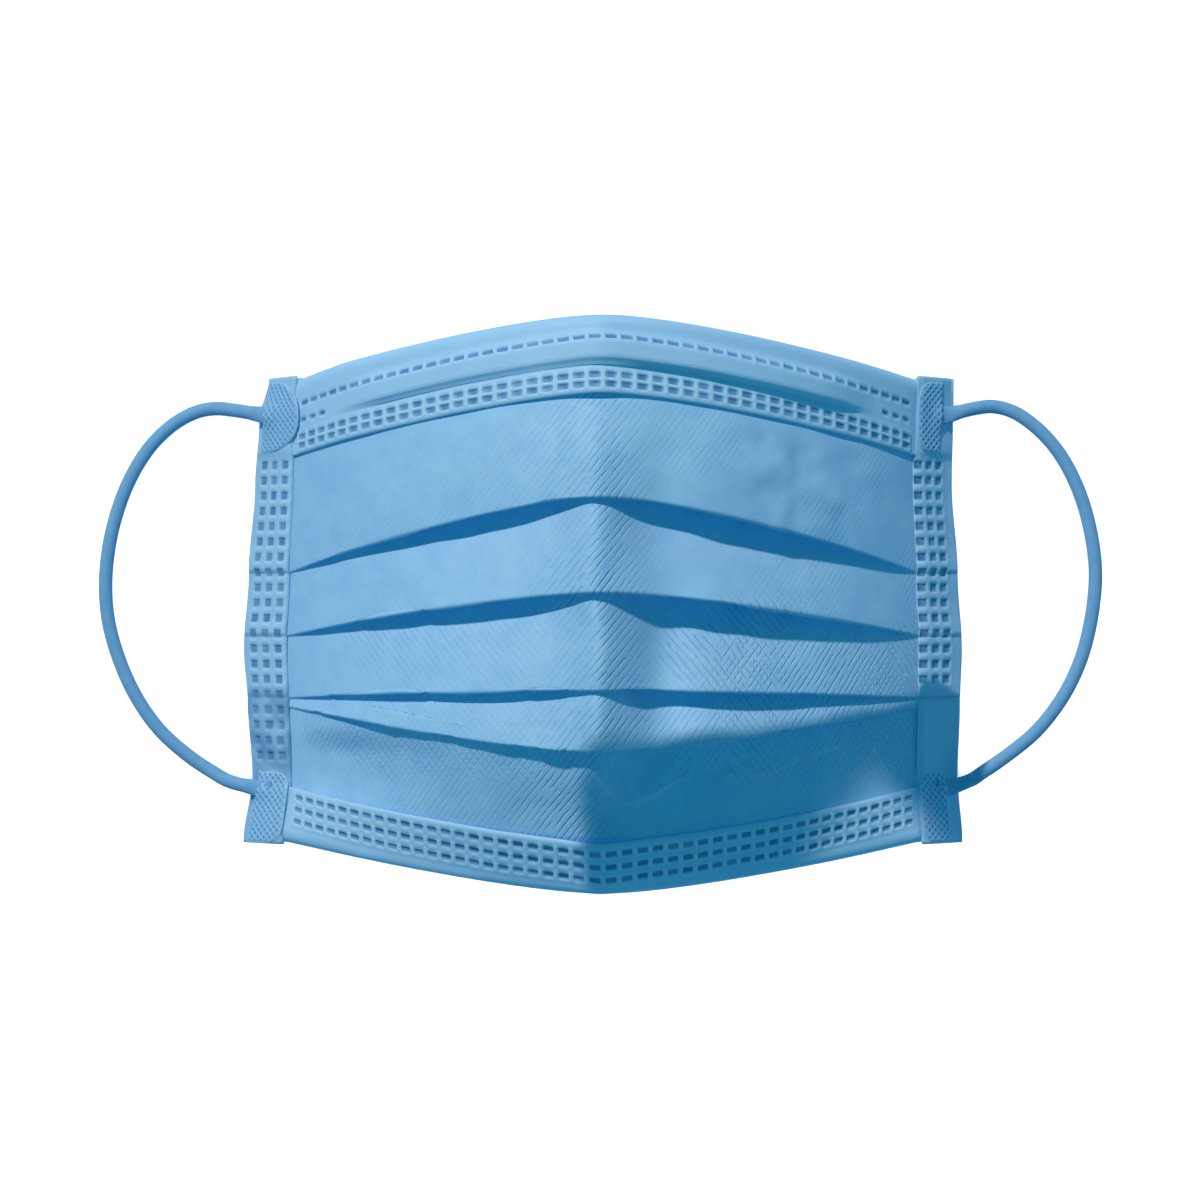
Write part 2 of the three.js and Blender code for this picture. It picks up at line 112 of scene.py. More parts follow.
# The welds that hold the ear loops' flattened ends. height is a share of the side height and square the
# exponent of the outline. inner and outer are the weld's edges across the binding, from 0 at the binding's inner
# edge to 1 at its outer edge. cord is where the cord leaves the weld, above its middle, as a share of the weld's
# height.
WELDS = {
    "loop_weld_top_left": dict(side=-1, height=0.405, square=2.2, cord=0.03, inner=-0.24, outer=0.93),
    "loop_weld_top_right": dict(side=1, height=0.405, square=4.0, cord=0.03, inner=0.0, outer=0.7),
    "loop_weld_bottom_left": dict(side=-1, height=-0.432, square=5.0, cord=0.25, inner=0.02, outer=0.93),
    "loop_weld_bottom_right": dict(side=1, height=-0.432, square=5.0, cord=0.26, inner=0.0, outer=0.75),
}

END_SHARES = (0.45, 0.72)  # where a loop's pressed end lies across the binding

# The ear loops' routes in metres, from the top weld to the bottom weld
ROUTES = {
    "left": [
        (-0.0733, 0.0397, 0.0046), (-0.0756, 0.0401, 0.0029), (-0.0794, 0.0405, 0.00175),
        (-0.0832, 0.0399, 0.0015), (-0.0879, 0.0375, 0.0015), (-0.093, 0.0327, 0.0015),
        (-0.0975, 0.0253, 0.0015), (-0.1007, 0.016, 0.0015), (-0.1021, 0.0067, 0.0015),
        (-0.1019, -0.001, 0.0015), (-0.1004, -0.008, 0.0015), (-0.0966, -0.0174, 0.0015),
        (-0.0916, -0.0249, 0.0015), (-0.0857, -0.0304, 0.0015), (-0.0804, -0.034, 0.0018),
        (-0.0766, -0.036, 0.003), (-0.0746, -0.037, 0.0045),
    ],
    "right": [
        (0.0746, 0.0398, 0.0046), (0.0769, 0.0406, 0.0029), (0.0804, 0.0409, 0.00175),
        (0.0844, 0.0398, 0.0015), (0.0893, 0.0364, 0.0015), (0.094, 0.031, 0.0015),
        (0.0979, 0.0233, 0.0015), (0.1002, 0.0152, 0.0015), (0.1012, 0.0069, 0.0015),
        (0.1005, -0.0016, 0.0015), (0.0984, -0.0104, 0.0015), (0.0948, -0.0182, 0.0015),
        (0.0892, -0.0256, 0.0015), (0.0828, -0.0309, 0.0016), (0.0778, -0.0343, 0.0021),
        (0.0757, -0.0356, 0.0032), (0.0744, -0.0364, 0.0046),
    ],
}

# The pressed weld marks. first and step are lanes across the strip, as shares of its width, and rows says how
# many lanes there are. long and wide are a mark's lengths in metres. start and end are a stretch of the strip, as
# shares of its half length. puff is the cloth's rise between the marks, and rib the strength of the
# painted highlight that makes the cloth there pale.
MARK_COLUMNS = "first step rows long wide start end puff rib"
MARK_ROWS = {
    "top_hem": table(
        MARK_COLUMNS,
        (0.335, 0.0, 1, 2.0 * MM, 0.65 * MM, 0.0, 0.985, 0.05 * MM, 0.1),
        (0.78, 0.115, 2, 1.85 * MM, 0.95 * MM, 0.0, 0.985, 0.25 * MM, 0.7),
        (0.56, 0.0, 1, 1.7 * MM, 0.6 * MM, 0.86, 0.985, 0.05 * MM, 0.1),
    ),
    "bottom_hem": table(MARK_COLUMNS, (0.4, 0.22, 3, 1.85 * MM, 0.8 * MM, 0.0, 0.985, 0.25 * MM, 0.7)),
    "side_binding_left": table(MARK_COLUMNS, (0.19, 0.33, 3, 1.4 * MM, 1.2 * MM, -1.0, 1.0, 0.12 * MM, 0.35)),
    "side_binding_right": table(MARK_COLUMNS, (0.09, 0.3, 3, 1.4 * MM, 1.2 * MM, -1.0, 1.0, 0.12 * MM, 0.35)),
}
CLOTH_ROWS = (6, 28, 9, 26, 9, 26, 9, 16, 9, 26, 6)  # rows in each stretch between the cloth line's corners
WALL = 0.22 * MM  # width of a mark's slanting wall
LANE_STEP = 0.8 * MM  # the widest step between a strip's points across it
LOWEST_MARK = {"left": -33 * MM, "right": -17 * MM}  # height below which a binding has no marks
BINDING_MARKS = 31 * MM  # how far from its middle a binding has marks

# The key light's beam is shaded over the mask's lower right, as it is in the photo. The shade begins along the
# lowest lip: share is a share of the half span, below how far below the lip it begins there, and end the height
# where it ends.
SHADE_EDGE = table(
    "share below end",
    (-0.085, 3.0 * MM, -90 * MM),
    (0.0, 1.5 * MM, -90 * MM),
    (0.05, -1.0 * MM, -90 * MM),
    (0.11, -4.6 * MM, -90 * MM),
    (0.17, -5.0 * MM, -90 * MM),
    (0.26, -3.0 * MM, -82 * MM),
    (0.4, -0.8 * MM, -64 * MM),
    (0.6, -0.8 * MM, -53 * MM),
    (0.8, -0.4 * MM, -44 * MM),
    (0.9, -1.5 * MM, -42 * MM),
    (0.96, -3.0 * MM, -44 * MM),
    (1.1, -3.5 * MM, -50 * MM),
)
SHADE_DEPTH = 70 * MM  # height over which the shade's left side leans
SHADE_LEAN = -22 * MM  # how far it leans over that height
SHADE_CRISP = 1.2 * MM  # blur of its upper edge
SHADE_BLURRED = 6 * MM  # blur of its lower edge
BEAM_SPAN = 0.4  # metres of the table that the shade's curves cover
KEY_TOWARDS = (-0.31, 0.64, 0.70)

# The ridge that stands in the middle below each pleat, where the cloth was folded flat: its height at the
# hidden fold, from nose to chin
RIDGES = (2.3 * MM, 2.3 * MM, 2.1 * MM, 2.6 * MM)

UV_SPAN = 0.2  # metres of flat cloth that the UV map covers
# Painted highlight: the pale colour the raised ribs between weld marks are painted with, standing in for the
# light that catches them.
RIB_HIGHLIGHT_COLOUR = (0.47, 0.77, 0.98)
KNURL_DENT = (0.11, 0.37, 0.7)


def length_of(name, description, default):
    """A length in metres that a user may change."""
    return FloatProperty(name=name, description=description, default=default, unit="LENGTH", precision=5)


def colour_of(name, description, default):
    """A scene-linear colour that a user may change."""
    return FloatVectorProperty(
        name=name, description=description, default=default, subtype="COLOR", size=3, min=0.0, max=1.0
    )


class MaskSizes(bpy.types.PropertyGroup):
    """Sizes of the bowed mask."""

    span: length_of("Span", "Across the bowed mask, outside the bindings", RIGHT_BOX[1][0] - LEFT_BOX[0][0])
    side_height: length_of("Side height", "Along the side bindings", LEFT_BOX[1][1] - LEFT_BOX[0][1])
    centre_height: length_of("Centre height", "Nose edge to chin edge on the centre line", 115 * MM)
    arch: length_of("Arch", "Height of the cloth above the table on the centre line", 42 * MM)
    pleat_depth: length_of("Pleat depth", "How far the deepest lip stands out from the arch", 7 * MM)
    pleat_tuck: length_of("Pleat tuck", "How far a pleat's hidden layer runs up behind its lip", 3.4 * MM)
    cloth: length_of("Cloth wall", "Wall of the three-ply cloth in the solid model", 1 * MM)
    shown_wall: length_of("Shown wall", "Wall of the cloth as it is shown", 0.6 * MM)
    tape_wall: length_of("Tape wall", "Wall of the bindings as they are shown", 0.45 * MM)
    pad_wall: length_of("Pad wall", "Wall of the loop welds as they are shown", 0.25 * MM)
    gap: length_of("Gap", "Between neighbouring pieces", 0.3 * MM)
    top_hem: length_of("Top hem", "Height of the nose hem", 16 * MM)
    bottom_hem: length_of("Bottom hem", "Height of the chin hem", 11.6 * MM)
    hem_back: length_of("Hem back", "The hems' short flap behind the cloth", 6 * MM)
    binding: length_of("Binding", "The binding's front flap, seen from above", 8 * MM)
    corner_rise: length_of("Corner rise", "How far a binding's top end slants up to its inner edge", 0.2 * MM)
    binding_back: length_of("Binding back", "The binding's back flap, seen from above", 5.6 * MM)
    wire_length: length_of("Wire length", "Nose wire, seen from above", 92 * MM)
    wire_width: length_of("Wire width", "Nose wire's width", 3.6 * MM)
    wire_drop: length_of("Wire drop", "From the nose edge to the wire's middle", 7.8 * MM)
    wire_rise: length_of("Wire rise", "How far the hem rises over the wire", 2.3 * MM)
    mark_pitch: length_of("Mark pitch", "From weld mark to weld mark along a row", 3.12 * MM)
    mark_depth: length_of("Mark depth", "Depth of the weld marks", 0.4 * MM)
    ridge_width: length_of("Ridge width", "How far the middle ridges spread to each side", 5.5 * MM)
    ridge_place: length_of("Ridge place", "X of the middle ridges", -1.5 * MM)
    ridge_round: length_of("Ridge rounding", "Rounding of the middle ridges", 1.8 * MM)
    valley_place: length_of("Valley place", "From the middle ridge to the valley on its right", 13 * MM)
    valley_width: length_of("Valley width", "Half the width of the valley", 6.5 * MM)
    weld_height: length_of("Weld height", "Height of a loop weld", 14.6 * MM)
    knurl: length_of("Knurl pitch", "Pitch of the diamond knurl on the loop welds", 1.5 * MM)
    cord: length_of("Cord", "Diameter of the ear loops", 2.8 * MM)
    wrinkle: length_of("Wrinkles", "Height of the cloth's soft wrinkles", 0.35 * MM)


class MaskColours(bpy.types.PropertyGroup):
    """Colours of the mask, scene-linear."""

    cloth: colour_of("Cloth", "The pleated cloth", (0.31, 0.625, 0.91))
    cloth_deep: colour_of("Cloth, deep", "The cloth where it is denser", (0.235, 0.54, 0.855))
    hem: colour_of("Hem", "Hems and bindings", (0.345, 0.665, 0.97))
    # The weld marks' floors: darker partly because the pressed cloth is thinner and partly as painted shade in
    # their recesses. The same colour paints the shade in the fine creases and on the bindings.
    pressed: colour_of("Pressed", "The floor of a weld mark", (0.065, 0.265, 0.53))
    elastic: colour_of("Elastic", "The ear loops", (0.16, 0.43, 0.74))
    wire: colour_of("Wire", "The nose wire", (0.8, 0.83, 0.85))
    floor: colour_of("Floor", "The table", (0.93, 0.93, 0.93))


class StageSettings(bpy.types.PropertyGroup):
    """Camera and light."""

    distance: length_of("Camera height", "From the table to the camera", 926 * MM)
    centre_x: length_of("Centre X", "Where the camera looks, along X", -0.6 * MM)
    centre_y: length_of("Centre Y", "Where the camera looks, along Y", 1.2 * MM)
    lens: FloatProperty(name="Lens", description="Focal length in millimetres", default=135.0, unit="CAMERA")
    table_size: length_of("Table size", "Half the table's side", 3.0)
    bounce: colour_of("Table bounce", "Colour of the light that the table throws back", (0.10, 0.24, 0.36))
    key: FloatProperty(name="Key", description="Strength of the key light", default=2.75, min=0.0)
    key_distance: length_of("Key distance", "From the mask to the key light", 8.0)
    key_angle: FloatProperty(
        name="Key softness", description="Angle that the key light fills", default=math.radians(3),
        subtype="ANGLE",
    )
    key_colour: colour_of("Key colour", "Colour of the key light", (1.0, 0.77, 0.675))
    fill: FloatProperty(name="Fill", description="Strength of the shadowless fill", default=0.58, min=0.0)
    fill_colour: colour_of("Fill colour", "Colour of the shadowless fill", (0.105, 0.73, 0.92))
    ambient: FloatProperty(name="Ambient", description="Strength of the ambience", default=0.3, min=0.0)
    ambient_colour: colour_of("Ambient colour", "Colour of the light from all round", (0.05, 0.38, 0.54))
    wash: FloatProperty(name="Wash", description="Strength of the table's own light", default=7.0, min=0.0)
    seed: IntProperty(name="Seed", description="Seed of the cloth's wrinkles", default=7)


def lerp(a, b, s):
    """The value a share s of the way from a to b."""
    return a + (b - a) * s


def smooth(s):
    """0 below 0, 1 above 1 and a smooth step between."""
    c = np.clip(s, 0.0, 1.0)
    return c * c * (3.0 - 2.0 * c)


def cloud(u, v, cell, seed):
    """Smooth noise from -1 to 1 whose blobs are about cell across."""
    lattice = np.random.default_rng(seed).uniform(-1.0, 1.0, (97, 89))
    x, y = u / cell + 31.7, v / cell + 43.3
    i, j = np.floor(x).astype(int), np.floor(y).astype(int)
    s, t = smooth(x - i), smooth(y - j)
    rows, columns = lattice.shape

    def corner(di, dj):
        return lattice[(i + di) % rows, (j + dj) % columns]

    return lerp(lerp(corner(0, 0), corner(1, 0), s), lerp(corner(0, 1), corner(1, 1), s), t)


class MaskForm:
    """Where the cloth goes: t is the share of the half span, from -1 at the left to 1 at the right."""

    bow = 1.35
    crease = 0.2
    ridge_round = 3 * MM
    pleat_step = 0.25 * MM
    pleat_opening = 0.3

    def __init__(self, sizes):
        self.sizes = sizes
        self.edge = 1.5 * sizes.cloth + sizes.gap
        self.band_offset = sizes.cloth + sizes.gap + self.pleat_step
        self.half = sizes.span / 2 - self.edge - self.pleat_step
        self.foot = 2 * sizes.cloth + sizes.gap + self.pleat_step
        self.band_start = 1 - sizes.binding / self.half
        self.back_start = 1 - sizes.binding_back / self.half
        shares = np.linspace(-1.0, 1.0, 2001)
        steps = np.hypot(np.diff(shares) * self.half, np.diff(self.arch(shares)))
        runs = np.concatenate([[0.0], np.cumsum(steps)])
        self.run_table = (shares, runs - runs[-1] / 2)

    def run_of(self, t):
        """Length along the arch from the centre line to t."""
        return np.interp(t, *self.run_table)

    def share_of(self, run):
        """t at a length along the arch from the centre line."""
        shares, runs = self.run_table
        return np.interp(run, runs, shares)

    def reach(self, t, end=None):
        """Distance from the centre line as a share of the way to end, with the crease's rounding."""
        end = self.band_start if end is None else end
        r = self.ridge_round / self.half
        return np.minimum(1.0, (np.hypot(t, r) - r) / (math.hypot(end, r) - r))

    def arch(self, t):
        """Height of the arch above the table."""
        rise = self.sizes.arch - self.foot
        return self.sizes.arch - rise * lerp(t * t, self.reach(t, 1.0), self.crease)

    def steepness(self, t):
        """How much longer the arch is than its plan."""
        slope = (self.sizes.arch - self.foot) / self.half * lerp(2 * np.abs(t), 1.0, self.crease)
        return np.hypot(1.0, slope)

    def row_height(self, row, t):
        """A row's place along Y."""
        centre = row["centre"] * self.sizes.centre_height
        return lerp(centre, row["side"] * self.sizes.side_height, self.reach(t) ** self.bow)

    def relief(self, crown, flank, t):
        """How far a row stands out from the arch."""
        s = self.reach(t)
        return self.sizes.pleat_depth * (crown * (1 - s) * (1 - 2 * s) + 4 * flank * s * (1 - s))

    def draw_in(self, y, side):
        """How far a side edge draws in at height y. side holds -1 for left and 1 for right."""
        heights = [row["height"] for row in SIDE_LINE][::-1]
        place = np.clip(y / self.sizes.side_height, heights[0], heights[-1])
        low = np.clip(np.searchsorted(heights, place, side="right") - 1, 0, len(heights) - 2)
        start = np.take(heights, low)
        share = smooth((place - start) / (np.take(heights, low + 1) - start))

        def along(key):
            values = [row[key] for row in SIDE_LINE][::-1]
            return lerp(np.take(values, low), np.take(values, low + 1), share)

        return self.sizes.span * np.where(side < 0, along("left"), along("right"))

    def across(self, t, y):
        """X of the cloth at a share t and height y."""
        share = np.maximum(0.0, (np.abs(t) - DRAW_FROM) / (1 - DRAW_FROM))
        return np.sign(t) * (np.abs(t) * self.half - self.draw_in(y, np.sign(t)) * share**self.bow)

    def cloth_line(self, t):
        """The corners of the cloth's line from nose to chin at each t, as arrays of (y, z)."""
        sizes = self.sizes
        edge = self.edge * self.steepness(t)
        arch = self.arch(t)
        top = self.row_height(NOSE_EDGE, t)
        bottom = self.row_height(CHIN_EDGE, t)

        def corner(y, crown, flank, extra=0.0):
            return np.stack([y, arch + self.relief(crown, flank, t) + extra], axis=-1)

        line = [
            corner(top - edge, NOSE_EDGE["crown"], NOSE_EDGE["flank"]),
            corner(top - sizes.top_hem, NOSE_HEM["crown"], NOSE_HEM["flank"]),
        ]
        opening = 1 - smooth((self.reach(t) - 1 + self.pleat_opening) / self.pleat_opening)
        for pleat in PLEATS:
            lip = self.row_height(pleat, t)
            fold = lip + lerp(-2 * self.pleat_step, pleat["tuck"] * sizes.pleat_tuck, opening)
            line.append(corner(lip, pleat["lip_crown"], pleat["lip_flank"], self.pleat_step))
            sunk = np.where(t < 0, pleat["left"], pleat["right"])
            s = self.reach(t)
            dip = sizes.pleat_depth * sunk * 4 * s * (1 - s) ** 2
            line.append(corner(fold, pleat["fold_crown"], 0.0, -self.pleat_step - dip))
        line.append(corner(bottom + sizes.bottom_hem, CHIN_HEM["crown"], CHIN_HEM["flank"]))
        line.append(corner(bottom + edge, CHIN_EDGE["crown"], CHIN_EDGE["flank"]))
        return line

    def hem_frame(self, t, is_top):
        """A hem's edge point, the way along it and the way out of its front, for each t."""
        line = self.cloth_line(t)
        edge, inner = (line[0], line[1]) if is_top else (line[-1], line[-2])
        along = inner - edge
        length = np.linalg.norm(along, axis=-1, keepdims=True)
        along = along / length
        sign = 1 if is_top else -1
        out = np.stack([sign * along[:, 1], -sign * along[:, 0]], axis=-1)
        return edge, along, out, length[:, 0]


def grid_normals(points):
    """The unit normals of a grid of points, by rows and columns."""
    across = np.gradient(points, axis=1)
    along = np.gradient(points, axis=0)
    normals = np.cross(along, across)
    return normals / np.maximum(np.linalg.norm(normals, axis=-1, keepdims=True), 1e-12)


def facing_up(middle, fields, rows=slice(None)):
    """A grid, its normals and its fields, turned round if the normals of the given rows point down."""
    normals = grid_normals(middle)
    if normals[rows, :, 2].mean() >= 0:
        return middle, normals, fields
    turned = {name: values[:, ::-1] for name, values in fields.items()}
    return middle[:, ::-1], -normals[:, ::-1], turned


def shell(name, middle, normals, wall, fields):
    """A closed wall round a grid of points. fields holds a value for each point of the grid, by name."""
    rows, columns = middle.shape[:2]
    front = middle + normals * wall / 2
    back = middle - normals * wall / 2
    points = np.concatenate([front.reshape(-1, 3), back.reshape(-1, 3)])
    number = np.arange(rows * columns).reshape(rows, columns)
    corners = [number[:-1, :-1], number[1:, :-1], number[1:, 1:], number[:-1, 1:]]
    quads = np.stack(corners, axis=-1).reshape(-1, 4)
    under = rows * columns
    rim = np.concatenate([number[0, :-1], number[:-1, -1], number[-1, :0:-1], number[:0:-1, 0]])
    rim_next = np.roll(rim, -1)
    sides = np.stack([rim, rim_next, rim_next + under, rim + under], axis=-1)
    faces = np.concatenate([quads, quads[:, ::-1] + under, sides])
    mesh = bpy.data.meshes.new(name)
    mesh.from_pydata(points, [], faces)
    mesh.update()
    for field, values in fields.items():
        both = np.concatenate([values.ravel(), values.ravel()]).astype(np.float32)
        mesh.attributes.new(field, "FLOAT", "POINT").data.foreach_set("value", both)
    outside = np.repeat([1.0, 0.0], under).astype(np.float32)
    mesh.attributes.new("outside", "FLOAT", "POINT").data.foreach_set("value", outside)
    lay_out(mesh, fields["run"], fields["lane"])
    return linked(name, mesh)


def shade_smooth(mesh):
    """Smooths the shading of all of a mesh's faces."""
    mesh.polygons.foreach_set("use_smooth", np.ones(len(mesh.polygons), dtype=bool))


def linked(name, mesh):
    """A new, smoothly shaded object in the scene with the mesh."""
    shade_smooth(mesh)
    piece = bpy.data.objects.new(name, mesh)
    bpy.context.collection.objects.link(piece)
    return piece


def lay_out(mesh, run, lane):
    """A UV map of the flat cloth: run and lane in units of UV_SPAN."""
    uv = mesh.uv_layers.new(name="flat cloth")
    corner = np.empty(len(mesh.loops), dtype=np.int32)
    mesh.loops.foreach_get("vertex_index", corner)
    corner %= run.size
    flat = np.stack([run.ravel()[corner], lane.ravel()[corner]], axis=-1) / UV_SPAN + 0.5
    uv.data.foreach_set("uv", flat.ravel().astype(np.float32))


def spaced(count):
    """count shares from 0 up to, but not including, 1, closer together at the ends."""
    return 0.5 - 0.5 * np.cos(math.pi * np.linspace(0.0, 1.0, count, endpoint=False))


def dense_line(corners, counts, bulges):
    """Points along a line of corners for each column, with each stretch bulging to the front."""
    pieces = []
    for a, b, count, bulge in zip(corners[:-1], corners[1:], counts, bulges):
        s = spaced(count)[:, None, None]
        chord = b - a
        length = np.linalg.norm(chord, axis=-1, keepdims=True)
        front = np.stack([chord[:, 1], -chord[:, 0]], axis=-1) / np.maximum(length, 1e-9)
        pieces.append(a + chord * s + front * (bulge * length) * 4 * s * (1 - s))
    pieces.append(corners[-1][None])
    return np.concatenate(pieces)


def softened(points, passes):
    """The same rows of points with their corners rounded, and with the first and last rows kept."""
    for _ in range(passes):
        inner = (points[:-2] + 2 * points[1:-1] + points[2:]) / 4
        points = np.concatenate([points[:1], inner, points[-1:]])
    return points


def finish_piece(piece, nodes, material):
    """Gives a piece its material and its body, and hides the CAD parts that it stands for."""
    piece.data.materials.clear()
    piece.data.materials.append(material)
    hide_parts(*nodes)
    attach(piece, "root")


class NodeTree:
    """Adds nodes to a node tree and links them. Wherever a value is wanted, a socket may stand."""

    def __init__(self, tree):
        self.tree = tree

    def add(self, kind, inputs=None, **settings):
        """A new node with its settings made and its inputs fed."""
        node = self.tree.nodes.new(kind)
        for key, value in settings.items():
            setattr(node, key, value)
        for key, value in (inputs or {}).items():
            self.feed(node.inputs[key], value)
        return node

    def feed(self, socket, value):
        """Links a socket to an input, or sets the input's value."""
        if isinstance(value, bpy.types.NodeSocket):
            self.tree.links.new(value, socket)
        else:
            socket.default_value = value

    def math(self, operation, *values):
        """The result of a math node."""
        node = self.add("ShaderNodeMath", operation=operation)
        for socket, value in zip(node.inputs, values):
            self.feed(socket, value)
        return node.outputs[0]

    def product(self, first, *others):
        """All the values multiplied."""
        for other in others:
            first = self.math("MULTIPLY", first, other)
        return first

    def off(self, value, middle):
        """How far a value is from a middle, either way."""
        return self.math("ABSOLUTE", self.math("SUBTRACT", value, middle))

    def ramp(self, value, low, high, to_low=0.0, to_high=1.0, smooth_step=True):
        """A value mapped from one range to another and held at its ends."""
        kind = "SMOOTHSTEP" if smooth_step else "LINEAR"
        node = self.add("ShaderNodeMapRange", interpolation_type=kind, clamp=True)
        for socket, given in zip(node.inputs, (value, low, high, to_low, to_high)):
            self.feed(socket, given)
        return node.outputs[0]

    def blend(self, factor, a, b):
        """A colour between a and b."""
        node = self.add("ShaderNodeMix", data_type="RGBA")
        for index, value in ((0, factor), (6, a), (7, b)):
            self.feed(node.inputs[index], value)
        return node.outputs[2]

    def field(self, name):
        """A mesh attribute's value, in geometry nodes."""
        return self.add("GeometryNodeInputNamedAttribute", {"Name": name}, data_type="FLOAT").outputs[0]

    def mask(self, name):
        """A mesh attribute's value, in a material."""
        return self.add("ShaderNodeAttribute", attribute_name=name).outputs["Fac"]

    def pushed_out(self, geometry, rise):
        """The geometry with its points moved out along their normals."""
        normal = self.add("GeometryNodeInputNormal").outputs[0]
        offset = self.add("ShaderNodeVectorMath", {0: normal, "Scale": rise}, operation="SCALE").outputs[0]
        return self.add("GeometryNodeSetPosition", {"Geometry": geometry, "Offset": offset}).outputs[0]

    def stored(self, geometry, name, value):
        """The geometry with a value kept for each point."""
        inputs = {"Geometry": geometry, "Name": name, "Value": value}
        node = self.add("GeometryNodeStoreNamedAttribute", inputs, data_type="FLOAT", domain="POINT")
        return node.outputs[0]

    def finish(self, geometry, material):
        """Ends a tree with real geometry in its material, and gives the tree."""
        real = self.add("GeometryNodeRealizeInstances", {"Geometry": geometry}).outputs[0]
        made = self.add("GeometryNodeSetMaterial", {"Geometry": real, "Material": material}).outputs[0]
        self.add("NodeGroupOutput", {"Geometry": made})
        return self.tree


def new_group(name, kind, inputs, outputs):
    """A node group with named inputs (name, socket type, default) and outputs (name, socket type)."""
    tree = bpy.data.node_groups.new(name, kind)
    for label, socket_type, default in inputs:
        socket = tree.interface.new_socket(label, in_out="INPUT", socket_type=socket_type)
        if default is not None:
            socket.default_value = default
    for label, socket_type in outputs:
        tree.interface.new_socket(label, in_out="OUTPUT", socket_type=socket_type)
    return NodeTree(tree)


FLOAT = "NodeSocketFloat"
INT = "NodeSocketInt"
VECTOR = "NodeSocketVector"
GEOMETRY = "NodeSocketGeometry"


def weld_press_tree():
    """Geometry nodes that press rows of marks into a strip, from its run and lane attributes."""
    inputs = [
        ("Geometry", GEOMETRY, None), ("Pitch", FLOAT, 3 * MM), ("Long", FLOAT, 2.4 * MM),
        ("Wide", FLOAT, 1 * MM), ("Wall", FLOAT, 0.2 * MM), ("Depth", FLOAT, 0.3 * MM),
        ("First lane", FLOAT, 0.0), ("Lane step", FLOAT, 0.0), ("Lanes", INT, 1), ("Start", FLOAT, 0.0),
        ("End", FLOAT, 1.0), ("Lowest", FLOAT, -1.0), ("Seed", INT, 0), ("Puff", FLOAT, 0.0),
        ("Rib", FLOAT, 1.0), ("Material", "NodeSocketMaterial", None),
    ]
    tree = new_group("Weld press", "GeometryNodeTree", inputs, [("Geometry", GEOMETRY)])
    given = tree.add("NodeGroupInput").outputs
    run, lane, outside = (tree.field(name) for name in ("run", "lane", "outside"))
    cell = tree.math("FLOOR", tree.math("DIVIDE", run, given["Pitch"]))
    centre = tree.math("MULTIPLY", tree.math("ADD", cell, 0.5), given["Pitch"])
    step = tree.math("MAXIMUM", given["Lane step"], 0.01 * MM)
    raw_row = tree.math("ROUND", tree.math("DIVIDE", tree.math("SUBTRACT", lane, given["First lane"]), step))
    last_row = tree.math("SUBTRACT", given["Lanes"], 1.0)
    row = tree.math("MINIMUM", tree.math("MAXIMUM", raw_row, 0.0), last_row)
    middle = tree.math("ADD", given["First lane"], tree.math("MULTIPLY", row, given["Lane step"]))
    off_run, off_lane = tree.off(run, centre), tree.off(lane, middle)

    def inside(off, size):
        half = tree.math("DIVIDE", size, 2.0)
        return tree.ramp(off, half, tree.math("ADD", half, given["Wall"]), 1.0, 0.0, smooth_step=False)

    distance = tree.math("ABSOLUTE", centre)
    in_stretch = tree.product(
        tree.math("GREATER_THAN", distance, given["Start"]),
        tree.math("LESS_THAN", distance, given["End"]),
        tree.math("GREATER_THAN", centre, given["Lowest"]),
    )
    number = tree.math("ADD", tree.math("MULTIPLY", row, 1000.0), cell)
    chance_inputs = {2: 0.75, 3: 1.0, "ID": number, "Seed": given["Seed"]}
    chance = tree.add("FunctionNodeRandomValue", chance_inputs, data_type="FLOAT").outputs[1]
    on_lane = tree.math("MULTIPLY", in_stretch, outside)
    mark = tree.product(inside(off_run, given["Long"]), inside(off_lane, given["Wide"]), on_lane, chance)
    edge = tree.math("ADD", tree.math("DIVIDE", given["Wide"], 2.0), given["Wall"])
    near = tree.ramp(off_lane, edge, tree.math("ADD", edge, 0.5 * MM), 1.0, 0.0)
    puff = tree.product(near, on_lane, given["Puff"])
    # How strongly the raised ribs beside the marks get a painted highlight.
    rib = tree.product(near, in_stretch, tree.math("SUBTRACT", 1.0, mark), given["Rib"])
    rise = tree.math("SUBTRACT", puff, tree.math("MULTIPLY", mark, given["Depth"]))
    made = tree.pushed_out(given["Geometry"], rise)
    # The marks' floors, kept for the material to darken: partly the thinner cloth's own tone, partly painted
    # shade in the recess.
    made = tree.stored(made, "pressed", tree.math("MAXIMUM", tree.field("pressed"), mark))
    made = tree.stored(made, "rib", tree.math("MAXIMUM", tree.field("rib"), rib))
    return tree.finish(made, given["Material"])


